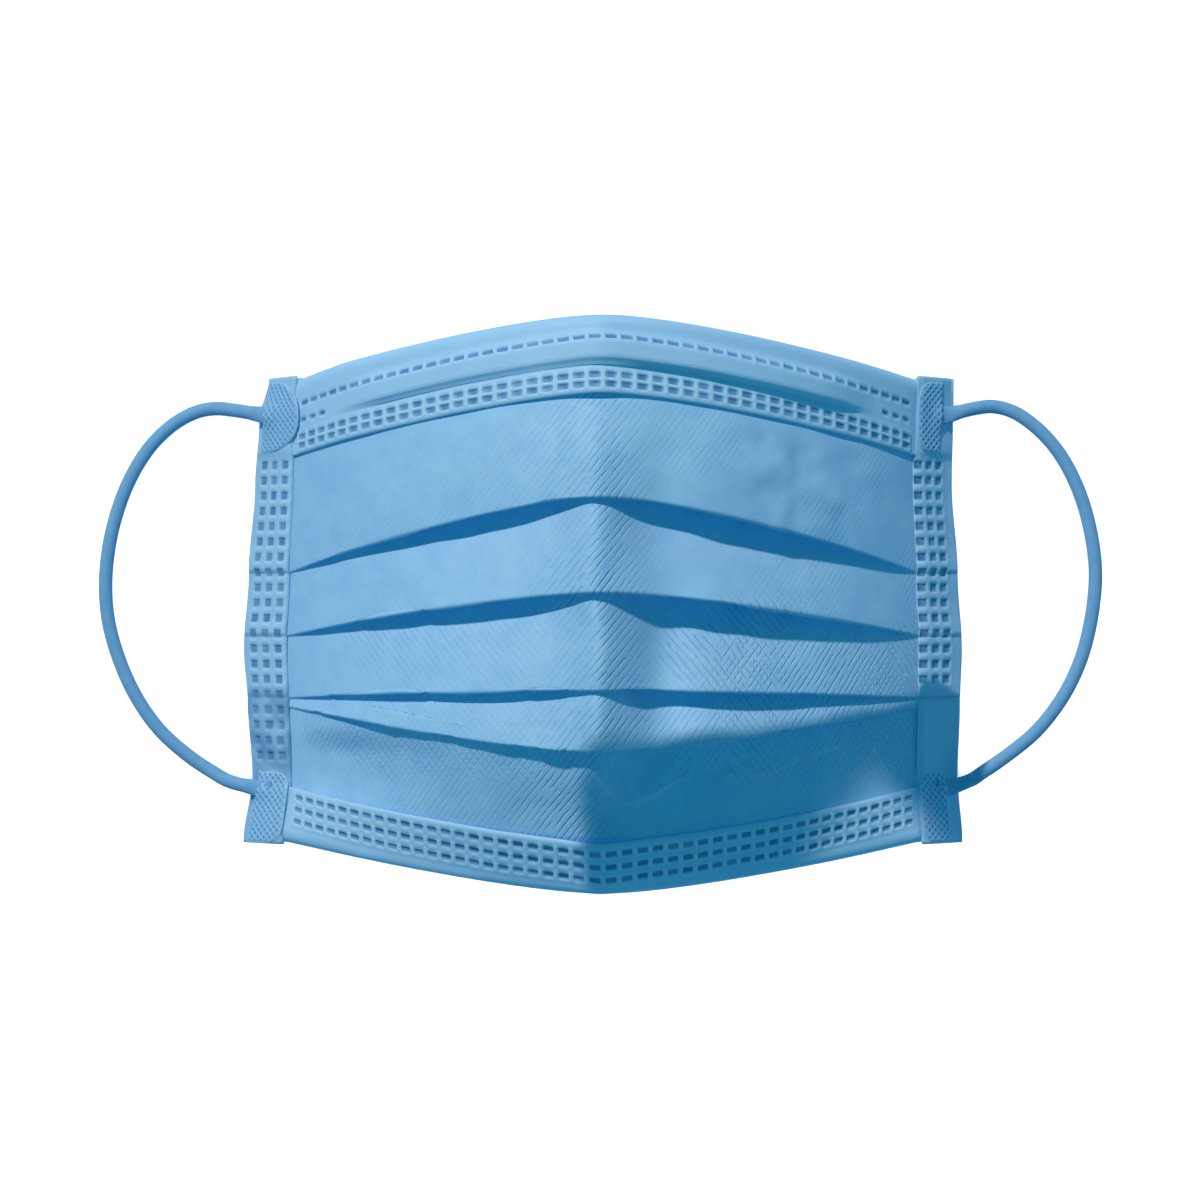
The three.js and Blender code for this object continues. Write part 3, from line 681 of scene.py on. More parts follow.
def knurl_tree():
    """Geometry nodes that raise a diamond knurl on a pad, from its run and lane attributes."""
    inputs = [
        ("Geometry", GEOMETRY, None), ("Pitch", FLOAT, 1.2 * MM), ("Height", FLOAT, 0.3 * MM),
        ("Slant", FLOAT, 0.85), ("Material", "NodeSocketMaterial", None),
    ]
    tree = new_group("Diamond knurl", "GeometryNodeTree", inputs, [("Geometry", GEOMETRY)])
    given = tree.add("NodeGroupInput").outputs
    run, lane, outside, inset = (tree.field(name) for name in ("run", "lane", "outside", "inset"))

    def ridge(value):
        return tree.off(tree.math("FRACT", tree.math("DIVIDE", value, given["Pitch"])), 0.5)

    along = tree.math("MULTIPLY", run, given["Slant"])
    first = ridge(tree.math("ADD", along, lane))
    second = ridge(tree.math("SUBTRACT", along, lane))
    diamond = tree.ramp(tree.math("MAXIMUM", first, second), 0.22, 0.42)
    made = tree.pushed_out(given["Geometry"], tree.product(diamond, given["Height"], outside, inset))
    made = tree.stored(made, "pressed", tree.math("MULTIPLY", tree.math("SUBTRACT", 1.0, diamond), inset))
    return tree.finish(made, given["Material"])


def tree_named(name, make):
    """The node group of that name, made if it isn't there yet."""
    return bpy.data.node_groups.get(name) or make()


def run_tree(piece, tree, values):
    """Adds a geometry nodes modifier with its inputs set by their identifiers."""
    modifier = piece.modifiers.new(tree.name, "NODES")
    modifier.node_group = tree
    for item in tree.interface.items_tree:
        if item.item_type == "SOCKET" and item.in_out == "INPUT" and item.name in values:
            modifier[item.identifier] = values[item.name]


def made_plain(piece):
    """Turns what a piece's modifiers make into its own plain mesh."""
    depsgraph = bpy.context.evaluated_depsgraph_get()
    mesh = bpy.data.meshes.new_from_object(piece.evaluated_get(depsgraph))
    old = piece.data
    piece.modifiers.clear()
    piece.data = mesh
    mesh.name = piece.name
    bpy.data.meshes.remove(old)
    shade_smooth(mesh)


def hatch_group():
    """Narrow parallel grooves across a vector, at an angle, that wander a little and fade in places."""
    inputs = [("Vector", VECTOR, None), ("Angle", FLOAT, 0.8), ("Spacing", FLOAT, 1.0), ("Wander", FLOAT, 0.6)]
    tree = new_group("Fine creases", "ShaderNodeTree", inputs, [("Height", FLOAT)])
    given = tree.add("NodeGroupInput").outputs
    turn = {"Vector": given["Vector"], "Angle": given["Angle"]}
    turned = tree.add("ShaderNodeVectorRotate", turn, rotation_type="Z_AXIS").outputs[0]
    parts = tree.add("ShaderNodeSeparateXYZ", {"Vector": turned}).outputs
    half_x = tree.math("MULTIPLY", parts[0], 0.5)
    slow = tree.add("ShaderNodeCombineXYZ", {"X": half_x, "Y": parts[1]}).outputs[0]
    noise = tree.add("ShaderNodeTexNoise", {"Vector": slow, "Scale": 0.25, "Detail": 2.0}).outputs["Fac"]
    shift = tree.math("MULTIPLY", tree.math("SUBTRACT", noise, 0.5), given["Wander"])
    turns = tree.math("DIVIDE", tree.math("ADD", parts[1], shift), given["Spacing"])
    groove = tree.ramp(tree.off(tree.math("FRACT", turns), 0.5), 0.04, 0.26, 1.0, 0.0)
    breaks = tree.add("ShaderNodeTexNoise", {"Vector": slow, "Scale": 0.7, "Detail": 2.0}).outputs["Fac"]
    strength = tree.ramp(breaks, 0.32, 0.56)
    tree.add("NodeGroupOutput", {"Height": tree.math("MULTIPLY", groove, strength)})
    return tree.tree


def mottle_group():
    """Cloudy density of the bonded fibres: a mask from 0 to 1, and the fibres' own fine height."""
    inputs = [("Vector", VECTOR, None), ("Cloud size", FLOAT, 7.0), ("Fibre size", FLOAT, 0.45)]
    tree = new_group("Bonded fibres", "ShaderNodeTree", inputs, [("Cloud", FLOAT), ("Fibre", FLOAT)])
    given = tree.add("NodeGroupInput").outputs

    def noise(size, detail, roughness):
        scale = tree.math("DIVIDE", 1.0, size)
        inputs = {"Vector": given["Vector"], "Scale": scale, "Detail": detail, "Roughness": roughness}
        return tree.add("ShaderNodeTexNoise", inputs).outputs["Fac"]

    broad = tree.ramp(noise(given["Cloud size"], 5.0, 0.7), 0.3, 0.7)
    fibre = noise(given["Fibre size"], 3.0, 0.7)
    cloud_mask = tree.math("ADD", tree.math("MULTIPLY", broad, 0.7), tree.math("MULTIPLY", fibre, 0.3))
    tree.add("NodeGroupOutput", {"Cloud": cloud_mask, "Fibre": fibre})
    return tree.tree


def in_millimetres(tree, source):
    """A vector in millimetres from the flat-cloth UV map or from Object coordinates."""
    if source == "uv":
        vector = tree.add("ShaderNodeUVMap", uv_map="flat cloth").outputs[0]
        size = UV_SPAN / MM
    else:
        vector = tree.add("ShaderNodeTexCoord").outputs["Object"]
        size = 1 / MM
    inputs = {0: vector, 1: (size, size, size)}
    return tree.add("ShaderNodeVectorMath", inputs, operation="MULTIPLY").outputs[0]


def rgba(colour, share=1.0):
    """A colour with alpha, darkened to a share."""
    return (*(channel * share for channel in colour), 1.0)


def new_material(name):
    """A material with its output and Principled shader, as (material, tree, shader)."""
    material = bpy.data.materials.new(name)
    material.use_nodes = True
    tree = NodeTree(material.node_tree)
    shader = material.node_tree.nodes["Principled BSDF"]
    return material, tree, shader


def cloth_material(name, light, deep, pressed, creased):
    """Spunbond cloth with cloudy fibres and weld marks and, if creased, the pleated cloth's fine creases. The
    marks' floors are dark partly from painted shade, the creases get a little painted shade and the ribs between
    the marks a painted highlight.
    """
    material, tree, shader = new_material(name)
    vector = in_millimetres(tree, "uv")
    fibres = tree.add("ShaderNodeGroup", {}, node_tree=tree_named("Bonded fibres", mottle_group))
    tree.feed(fibres.inputs["Vector"], vector)
    colour = tree.blend(fibres.outputs["Cloud"], rgba(light), rgba(deep))
    marks = tree.mask("pressed")
    # A painted highlight makes the raised ribs between the marks pale.
    colour = tree.blend(tree.math("MULTIPLY", tree.mask("rib"), 0.6), colour, rgba(RIB_HIGHLIGHT_COLOUR))
    # Weld mark floors and the bindings' painted shade blend toward the dark colour: painted shade, and in the
    # marks partly the thinner cloth's own tone.
    colour = tree.blend(marks, colour, rgba(pressed))
    height = tree.math("MULTIPLY", fibres.outputs["Fibre"], 0.18)
    if creased:
        grooves = 0.0
        for attribute, angle, spacing in (("rising", 0.9, 1.15), ("falling", -0.85, 1.3)):
            lines = tree.add("ShaderNodeGroup", {}, node_tree=tree_named("Fine creases", hatch_group))
            for label, value in (("Vector", vector), ("Angle", angle), ("Spacing", spacing), ("Wander", 0.9)):
                tree.feed(lines.inputs[label], value)
            shown = tree.math("MULTIPLY", lines.outputs[0], tree.mask(attribute))
            grooves = tree.math("MAXIMUM", grooves, shown)
        height = tree.math("SUBTRACT", height, grooves)
        # Painted shade: the fine creases are darkened a little toward the marks' dark colour.
        colour = tree.blend(tree.math("MULTIPLY", grooves, 0.1), colour, rgba(pressed))
    tree.feed(shader.inputs["Base Color"], colour)
    bump = {"Strength": 0.9, "Distance": 0.3 * MM, "Height": height}
    tree.feed(shader.inputs["Normal"], tree.add("ShaderNodeBump", bump).outputs[0])
    tree.feed(shader.inputs["Roughness"], tree.ramp(marks, 0.0, 1.0, 0.62, 0.42))
    shader.inputs["Specular IOR Level"].default_value = 0.35
    shader.inputs["Sheen Weight"].default_value = 0.12
    shader.inputs["Sheen Roughness"].default_value = 0.45
    return material


def elastic_material(colours):
    """Finely knitted elastic: small stitches round and along the cord, from its UV map."""
    material, tree, shader = new_material("Knitted elastic")
    vector = in_millimetres(tree, "uv")
    parts = tree.add("ShaderNodeSeparateXYZ", {"Vector": vector}).outputs
    along = tree.math("SINE", tree.math("MULTIPLY", parts[0], 2 * math.pi / 0.55))
    round_it = tree.math("SINE", tree.math("MULTIPLY", parts[1], 2 * math.pi / 0.4))
    stitches = tree.math("MULTIPLY", along, round_it)
    noise = tree.add("ShaderNodeTexNoise", {"Vector": vector, "Scale": 0.5, "Detail": 3.0}).outputs["Fac"]
    colour = tree.blend(noise, rgba(colours.elastic, 0.85), rgba(colours.elastic, 1.15))
    tree.feed(shader.inputs["Base Color"], colour)
    bump = {"Strength": 0.5, "Distance": 0.1 * MM, "Height": stitches}
    tree.feed(shader.inputs["Normal"], tree.add("ShaderNodeBump", bump).outputs[0])
    shader.inputs["Roughness"].default_value = 0.75
    shader.inputs["Sheen Weight"].default_value = 0.1
    return material


def wire_material(colours):
    """Matt white plastic with a faint drawn grain."""
    material, tree, shader = new_material("Wire plastic")
    vector = in_millimetres(tree, "object")
    grain = tree.add("ShaderNodeTexNoise", {"Vector": vector, "Scale": 1.5, "Detail": 2.0}).outputs["Fac"]
    tree.feed(shader.inputs["Base Color"], tree.blend(grain, rgba(colours.wire, 0.92), rgba(colours.wire)))
    shader.inputs["Roughness"].default_value = 0.5
    return material


def material_named(name, make):
    """The material of that name, made if it isn't there yet."""
    return bpy.data.materials.get(name) or make()


def hem_material(name, share):
    """The hems' and bindings' cloth, darkened to a share."""
    colours = bpy.context.scene.mask_colours
    light = [channel * share for channel in colours.hem]
    deep = [channel * 0.95 for channel in light]
    return material_named(name, lambda: cloth_material(name, light, deep, colours.pressed, False))


def catmull_rom(points, count):
    """count points along a centripetal curve through the given ones, evenly spaced by length."""
    points = np.array(points)
    ends = [2 * points[0] - points[1], *points, 2 * points[-1] - points[-2]]
    fine = []
    for p0, p1, p2, p3 in zip(ends[:-3], ends[1:-2], ends[2:-1], ends[3:]):
        steps = [math.sqrt(np.linalg.norm(b - a)) for a, b in ((p0, p1), (p1, p2), (p2, p3))]
        knots = np.cumsum([0.0, *steps])
        for k in np.linspace(knots[1], knots[2], 24, endpoint=False):

            def between(a, b, ka, kb):
                return (kb - k) / (kb - ka) * a + (k - ka) / (kb - ka) * b

            a1 = between(p0, p1, *knots[:2])
            a2 = between(p1, p2, *knots[1:3])
            a3 = between(p2, p3, *knots[2:])
            b1 = between(a1, a2, knots[0], knots[2])
            b2 = between(a2, a3, knots[1], knots[3])
            fine.append(between(b1, b2, knots[1], knots[2]))
    fine = np.array([*fine, points[-1]])
    lengths = np.concatenate([[0.0], np.cumsum(np.linalg.norm(np.diff(fine, axis=0), axis=1))])
    even = np.linspace(0.0, lengths[-1], count)
    return np.stack([np.interp(even, lengths, fine[:, k]) for k in range(3)], axis=-1), lengths[-1]


def tube(name, path, radii, sides):
    """A closed tube along a path, with a half-width and half-height for each ring."""
    way = np.gradient(path, axis=0)
    way /= np.linalg.norm(way, axis=1, keepdims=True)
    broad = np.cross(np.array([0.0, 0.0, 1.0]), way)
    broad /= np.linalg.norm(broad, axis=1, keepdims=True)
    thin = np.cross(way, broad)
    angles = np.linspace(0.0, 2 * math.pi, sides, endpoint=False)
    rings = (
        path[:, None]
        + broad[:, None] * (radii[:, :1, None] * np.cos(angles)[None, :, None])
        + thin[:, None] * (radii[:, 1:, None] * np.sin(angles)[None, :, None])
    )
    count = len(path)
    points = np.concatenate([rings.reshape(-1, 3), path[[0, -1]]])
    number = np.arange(count * sides).reshape(count, sides)
    after = np.roll(number, -1, axis=1)
    walls = np.stack([number[:-1], after[:-1], after[1:], number[1:]], axis=-1).reshape(-1, 4).tolist()
    first = [(number[0, k], count * sides, after[0, k]) for k in range(sides)]
    last = [(number[-1, k], after[-1, k], count * sides + 1) for k in range(sides)]
    mesh = bpy.data.meshes.new(name)
    mesh.from_pydata(points, [], walls + first + last)
    mesh.update()
    lengths = np.concatenate([[0.0], np.cumsum(np.linalg.norm(np.diff(path, axis=0), axis=1))])
    uv = mesh.uv_layers.new(name="flat cloth")
    for loop in mesh.loops:
        ring, k = divmod(loop.vertex_index, sides)
        place = (lengths[ring], k / sides * 9 * MM) if ring < count else (0.0, 0.0)
        uv.data[loop.index].uv = (place[0] / UV_SPAN, place[1] / UV_SPAN)
    return linked(name, mesh)


class MASK_OT_stage(bpy.types.Operator):
    """Makes the pale table, the soft light and the camera over the mask"""

    bl_idname = "mask.stage"
    bl_label = "Stage"

    def execute(self, context):
        stage = context.scene.mask_stage
        make_camera(stage)
        make_floor(stage, context.scene.mask_colours)
        make_lights(stage)
        return {"FINISHED"}


def make_camera(stage):
    """A long lens that looks straight down, with the nose edge up."""
    data = bpy.data.cameras.new("Camera")
    data.lens = stage.lens
    data.sensor_width = 36.0
    camera = bpy.data.objects.new("Camera", data)
    camera.location = (stage.centre_x, stage.centre_y, stage.distance)
    bpy.context.collection.objects.link(camera)
    bpy.context.scene.camera = camera


def make_floor(stage, colours):
    """A wide pale table just under the mask. The light that it throws back is dim and blue."""
    size = stage.table_size
    mesh = bpy.data.meshes.new("table")
    corners = [(-size, -size, 0.0), (size, -size, 0.0), (size, size, 0.0), (-size, size, 0.0)]
    mesh.from_pydata(corners, [], [(0, 1, 2, 3)])
    floor = bpy.data.objects.new("table", mesh)
    bpy.context.collection.objects.link(floor)
    material, tree, shader = new_material("Pale table")
    shader.inputs["Roughness"].default_value = 0.9
    shader.inputs["Specular IOR Level"].default_value = 0.0
    seen = tree.add("ShaderNodeLightPath").outputs["Is Camera Ray"]
    tree.feed(shader.inputs["Base Color"], tree.blend(seen, rgba(stage.bounce), rgba(colours.floor)))
    mesh.materials.append(material)
    floor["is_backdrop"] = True


def sun(name, strength, angle, colour):
    """A distant light that shines straight down."""
    data = bpy.data.lights.new(name, "SUN")
    data.energy = strength
    data.angle = angle
    data.color = colour
    lamp = bpy.data.objects.new(name, data)
    bpy.context.scene.collection.objects.link(lamp)
    return data


def make_lights(stage):
    """A key light from the upper left, a flat blue fill, a white wash for the table and a blue ambience."""
    scene = bpy.context.scene
    scene.view_settings.view_transform = "Standard"
    make_key(stage, MaskForm(scene.mask_sizes))
    fill = sun("Fill", stage.fill, math.radians(20), stage.fill_colour)
    fill.use_shadow = False
    sun("Table light", stage.wash, math.radians(120), (1.0, 1.0, 1.0))
    world = bpy.data.worlds.new("Ambience")
    world.use_nodes = True
    background = world.node_tree.nodes["Background"]
    background.inputs["Color"].default_value = rgba(stage.ambient_colour)
    background.inputs["Strength"].default_value = stage.ambient
    scene.world = world


def beam_shade(form):
    """The upper and lower edges of the shade in the key's beam, as points where it would meet the table."""
    towards = Vector(KEY_TOWARDS).normalized()
    shares = np.array([row["share"] for row in SHADE_EDGE])
    lip_y, lip_z = np.moveaxis(form.cloth_line(shares)[LOWEST_LIP], -1, 0)
    lip_x = form.across(shares, lip_y)
    upper, lower = [], []
    for x, y, z, row in zip(lip_x, lip_y, np.maximum(lip_z, 3 * MM), SHADE_EDGE):
        cast_x, cast_y = z * towards.x / towards.z, z * towards.y / towards.z
        lean = SHADE_LEAN * (y - row["below"] - row["end"]) / SHADE_DEPTH
        upper.append((float(x - cast_x), float(y - row["below"] - cast_y)))
        lower.append((float(x + lean - cast_x), float(row["end"] - cast_y)))
    return upper, lower


def edge_curve(tree, along, points):
    """The height of an edge, given as points in metres, at a place along X."""
    share = tree.math("ADD", tree.math("DIVIDE", along, BEAM_SPAN), 0.5)
    node = tree.add("ShaderNodeFloatCurve", {"Value": share})
    curve = node.mapping.curves[0]
    while len(curve.points) < len(points):
        curve.points.new(0.5, 0.5)
    for place, (x, y) in zip(curve.points, sorted(points)):
        place.location = (x / BEAM_SPAN + 0.5, y / BEAM_SPAN + 0.5)
        place.handle_type = "VECTOR"
    node.mapping.update()
    return tree.math("MULTIPLY", tree.math("SUBTRACT", node.outputs[0], 0.5), BEAM_SPAN)


def make_key(stage, form):
    """A far, soft key light whose beam is shaded over the mask's lower right."""
    towards = Vector(KEY_TOWARDS).normalized()
    data = bpy.data.lights.new("Key", "SPOT")
    data.energy = stage.key * 4 * math.pi * stage.key_distance**2
    data.shadow_soft_size = stage.key_distance * math.tan(stage.key_angle / 2)
    data.spot_size = math.radians(12)
    data.color = stage.key_colour
    data.use_nodes = True
    lamp = bpy.data.objects.new("Key", data)
    lamp.location = towards * stage.key_distance
    lamp.rotation_euler = towards.to_track_quat("Z", "Y").to_euler()
    bpy.context.scene.collection.objects.link(lamp)
    shade_beam(NodeTree(data.node_tree), *beam_shade(form))


def shade_beam(tree, upper, lower):
    """Takes the shade out of a light's strength. Each ray is followed from the light to the table."""
    ray = tree.add("ShaderNodeNewGeometry").outputs
    start = tree.add("ShaderNodeSeparateXYZ", {"Vector": ray["Position"]}).outputs
    way = tree.add("ShaderNodeSeparateXYZ", {"Vector": ray["Incoming"]}).outputs
    reach = tree.math("DIVIDE", start[2], way[2])
    x, y = (tree.math("SUBTRACT", start[k], tree.math("MULTIPLY", way[k], reach)) for k in (0, 1))
    left = tree.ramp(y, lower[0][1], upper[0][1], lower[0][0], upper[0][0], smooth_step=False)

    def past(value, edge, soft):
        return tree.ramp(tree.math("SUBTRACT", value, edge), -soft, soft)

    shade = tree.product(
        past(edge_curve(tree, x, upper), y, SHADE_CRISP),
        past(y, edge_curve(tree, x, lower), SHADE_BLURRED),
        past(x, left, 2 * SHADE_CRISP),
        past(upper[-1][0], x, SHADE_CRISP),
    )
    emission = next(node for node in tree.tree.nodes if node.type == "EMISSION")
    tree.feed(emission.inputs["Strength"], tree.math("SUBTRACT", 1.0, shade))


def link_lights():
    """Lets the key and the fill reach only the mask, and the table light only the table."""
    pieces = [thing for thing in bpy.data.objects if thing.type == "MESH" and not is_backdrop(thing)]
    for lamp_name, lit in (("Key", pieces), ("Fill", pieces), ("Table light", [bpy.data.objects["table"]])):
        receivers = bpy.data.collections.new(lamp_name + " receivers")
        for thing in lit:
            receivers.objects.link(thing)
        bpy.data.objects[lamp_name].light_linking.receiver_collection = receivers
    blockers = bpy.data.collections.new("Table light blockers")
    for thing in pieces:
        blockers.objects.link(thing)
    bpy.data.objects["Table light"].light_linking.blocker_collection = blockers


def cord_height(weld, sizes):
    """Y where a cord leaves its weld."""
    return weld["height"] * sizes.side_height + weld["cord"] * sizes.weld_height


def loop_path(form, side_name, count):
    """The ear loop's path, from under its top weld, along its route, to under its bottom weld."""
    ends = []
    for end in ("top", "bottom"):
        weld = WELDS["loop_weld_" + end + "_" + side_name]
        y = np.array([cord_height(weld, form.sizes)])
        places = []
        for share in END_SHARES:
            lift = tape_lift(form, y, share) + 0.45 * MM
            x, z = off_band(form, lerp(form.band_start, 1.0, share), y, weld["side"], lift)
            places.append((weld["side"] * float(x[0]), float(y[0]), float(z[0])))
        ends.append(places)
    route = [*ends[0], *ROUTES[side_name][1:-1], *reversed(ends[1])]
    return catmull_rom(route, count)


class MASK_OT_ear_loops(bpy.types.Operator):
    """Makes the two round knitted ear loops along their routes, with flattened ends under their welds"""

    bl_idname = "mask.ear_loops"
    bl_label = "Ear loops"

    def execute(self, context):
        sizes = context.scene.mask_sizes
        form = MaskForm(sizes)
        material = elastic_material(context.scene.mask_colours)
        for side in ROUTES:
            path, length = loop_path(form, side, 300)
            along = np.linspace(0.0, length, len(path))
            round_share = smooth((np.minimum(along, length - along) - 3 * MM) / (5 * MM))
            radius = sizes.cord / 2
            radii = radius * np.stack([lerp(1.25, 1.0, round_share), lerp(0.3, 1.0, round_share)], axis=-1)
            piece = tube("ear_loop_" + side + "_knit", path, radii, 28)
            finish_piece(piece, ["ear_loop_" + side], material)
        return {"FINISHED"}


def declare_cords():
    """Works out each ear loop's path again, but keeps nothing of it."""
    sizes = bpy.context.scene.mask_sizes
    form = MaskForm(sizes)
    for side in ROUTES:
        path, length = loop_path(form, side, 60)
        tuple(path[0])
        [tuple(point) for point in path]


def panel_wrinkles(t, run, lane, off_hems, seed):
    """The height of the cloth's soft wrinkles, in units of the wrinkle size. They die away towards the hems."""
    slant = cloud((run + lane) * 0.7, (run - lane) * 0.22, 5 * MM, seed)
    broad = cloud(run, lane, 16 * MM, seed + 1)
    crumple = cloud(run - 0.4 * lane, lane, 6 * MM, seed + 2)
    fine = cloud(run + 0.3 * lane, lane, 3 * MM, seed + 3)
    top_right = smooth((t - 0.25) / 0.3) * smooth((45 * MM - lane) / (10 * MM))
    open_cloth = smooth((off_hems - 1 * MM) / (5 * MM))
    return (0.5 * slant + 0.8 * broad + (2.4 * crumple + 0.9 * fine) * top_right) * open_cloth


def pleat_rows(counts):
    """For each pleat, the rows of its hidden layer and those of the visible stretch below it, as slices."""
    first = counts[0] + counts[1]
    for hidden, visible in zip(counts[2:-1:2], counts[3:-1:2]):
        yield slice(first, first + hidden), slice(first + hidden, first + hidden + visible)
        first += hidden + visible


def shares_along(rows):
    """How far each of the rows is on its way through them, from 0 up to, but not including, 1."""
    return np.linspace(0.0, 1.0, rows.stop - rows.start, endpoint=False)


def below_fold(counts):
    """For each row, how near it lies below the hidden fold above it: 1 at the fold, 0 at the next lip."""
    near = np.zeros(sum(counts) + 1)
    for _, visible in pleat_rows(counts):
        near[visible] = (1 - shares_along(visible)) ** 3
    return near[:, None]


def chin_trough(run, y):
    """How deep the broad trough at the left of the lowest stretch is."""
    below_lip = smooth((-24 * MM - y) / (6 * MM)) * (1 - smooth((-33 * MM - y) / (12 * MM)))
    return 2.4 * MM * np.exp(-(((run + 56 * MM) / (16 * MM)) ** 2)) * below_lip


def ridge_heights(counts, run, y, sizes):
    """How far the middle ridge stands out, less the valley beside it. It is higher at each hidden fold."""
    folds = np.zeros(sum(counts) + 1)
    for (hidden, visible), height in zip(pleat_rows(counts), RIDGES):
        folds[hidden] = height * smooth(shares_along(hidden))
        folds[visible] = height * (1 - shares_along(visible)) ** 1.5
    wander = 0.9 * MM * cloud(y, np.zeros_like(y), 13 * MM, 5)
    right_of = run - sizes.ridge_place
    off = np.hypot(right_of - wander, sizes.ridge_round) - sizes.ridge_round
    on_pleats = smooth((40 * MM - y) / (12 * MM)) * smooth((y + 44 * MM) / (12 * MM))
    standing = lerp(2.5 * MM, 3.3 * MM, smooth(0.5 - y / (40 * MM))) * on_pleats
    valley = lerp(1.2 * MM, 3.2 * MM, smooth(0.5 - y / (24 * MM))) * on_pleats
    valley = valley * np.exp(-(((right_of - sizes.valley_place) / sizes.valley_width) ** 2))
    return folds[:, None] * np.exp(-off / sizes.ridge_width) + standing * np.exp(-off / (4 * MM)) - valley


def rising_creases(run, lane):
    """Where the fine creases that rise to the right show: about the middle ridge and in the lower left."""
    ridge = np.exp(-(((run + 3 * MM) / (9 * MM)) ** 2))
    patch = smooth(0.3 + 1.6 * cloud(run, lane, 14 * MM, 21))
    low = smooth((lane - 72 * MM) / (8 * MM)) * smooth((2 * MM - run) / (15 * MM))
    third = smooth((lane - 60 * MM) / (5 * MM)) * smooth((92 * MM - lane) / (5 * MM))
    hatch = smooth((run - 8 * MM) / (10 * MM)) * third
    return np.clip(0.48 * ridge + 0.14 * patch + 0.1 * low + 0.35 * hatch * patch, 0.0, 1.0)


def falling_creases(run, lane, near_fold):
    """Where the fine creases that fall to the right show: under the folds on the left, and low on the right."""
    patch = smooth(0.35 + 1.7 * cloud(run, lane, 14 * MM, 33))
    low = smooth((lane - 52 * MM) / (5 * MM)) * smooth((94 * MM - lane) / (6 * MM))
    right = smooth((run - 5 * MM) / (10 * MM)) * (0.12 + 0.88 * low) * patch
    left = smooth((-run - 8 * MM) / (8 * MM)) * smooth((run + 62 * MM) / (12 * MM)) * low
    return np.clip(0.65 * right + 0.9 * left * (0.15 + 0.85 * near_fold), 0.0, 1.0)


class MASK_OT_cloth(bpy.types.Operator):
    """Makes the pleated cloth as one folded sheet"""

    bl_idname = "mask.cloth"
    bl_label = "Pleated cloth"

    def execute(self, context):
        scene = context.scene
        colours = scene.mask_colours
        piece = make_cloth(MaskForm(scene.mask_sizes), scene.mask_sizes, scene.mask_stage.seed)
        material = cloth_material("Pleated cloth", colours.cloth, colours.cloth_deep, colours.pressed, True)
        finish_piece(piece, ["pleated_panel"], material)
        return {"FINISHED"}


def cloth_bulges(t, flat_share):
    """How far each stretch of the cloth's line bulges to the front, as a share of its length, at each t."""
    visible, hidden, chin = 0.035, -0.02, 0.021
    chin_bulge = chin * smooth(0.5 + 4 * t)
    bulges = [0.0, *[visible, hidden] * len(PLEATS), chin_bulge[None, :, None], 0.0]
    return [bulge * flat_share[None, :, None] for bulge in bulges]


def make_cloth(form, sizes, seed):
    """The folded cloth, with its middle ridge and valley, its wrinkles and the places of its creases."""
    band = np.linspace(form.band_start, 1, 8)
    t = np.concatenate([-band[:0:-1], np.linspace(-form.band_start, form.band_start, 185), band[1:]])
    flat_share = 1 - smooth((form.reach(t) - 0.55) / 0.45)
    counts = CLOTH_ROWS
    line = softened(dense_line(form.cloth_line(t), counts, cloth_bulges(t, flat_share)), 3)
    y = line[..., 0]
    lane = y[:1].max() - y
    run = np.broadcast_to(form.run_of(t), y.shape)
    ts = np.broadcast_to(t, y.shape)
    middle = np.stack([form.across(ts, y), y, line[..., 1]], axis=-1)
    normals = grid_normals(middle)
    middle[..., 2] += ridge_heights(counts, run, y, sizes)
    middle[..., 2] -= chin_trough(run, y) * smooth((1 - form.reach(t)) / 0.12)
    off_hems = np.minimum(y[counts[0]] - y, y - y[-1 - counts[-1]])
    wrinkles = panel_wrinkles(ts, run, lane, off_hems, seed)
    middle = middle + normals * (wrinkles * sizes.wrinkle * flat_share)[..., None]
    fields = {
        "run": run, "lane": lane, "pressed": np.zeros_like(lane),
        "rising": rising_creases(run, lane), "falling": falling_creases(run, lane, below_fold(counts)),
    }
    return shell("pleated_cloth", middle, grid_normals(middle), sizes.shown_wall, fields)


def mark_lines(pitch, long, wall, reach):
    """Places along a strip where a mesh needs lines, so that its marks have crisp edges."""
    gap = pitch - long
    beside = [-gap / 2, -gap / 2 + wall, 0.0, gap / 2 - wall, gap / 2]
    local = [*beside, pitch * 0.36, pitch * 0.5, pitch * 0.64]
    count = math.floor(reach / pitch)
    lines = {round(k * pitch + place, 7) for k in range(-count - 1, count + 1) for place in local}
    inner = [line for line in lines if abs(line) < reach - wall]
    return np.array(sorted([-reach, *inner, reach]))


def lane_lines(width, rows, wall, coarse):
    """Places across a strip where a mesh needs lines, filled in to a coarse step."""
    lines = {0.0, width}
    for row in rows:
        for k in range(row["rows"]):
            middle = (row["first"] + k * row["step"]) * width
            for off in (row["wide"] / 2, row["wide"] / 2 + wall):
                lines.update((middle - off, middle + off))
    lines = sorted(line for line in lines if 0 <= line <= width)
    filled = [lines[0]]
    for line in lines[1:]:
        pieces = max(1, math.ceil((line - filled[-1]) / coarse))
        start = filled[-1]
        filled.extend(lerp(start, line, (k + 1) / pieces) for k in range(pieces))
    return np.array(filled)


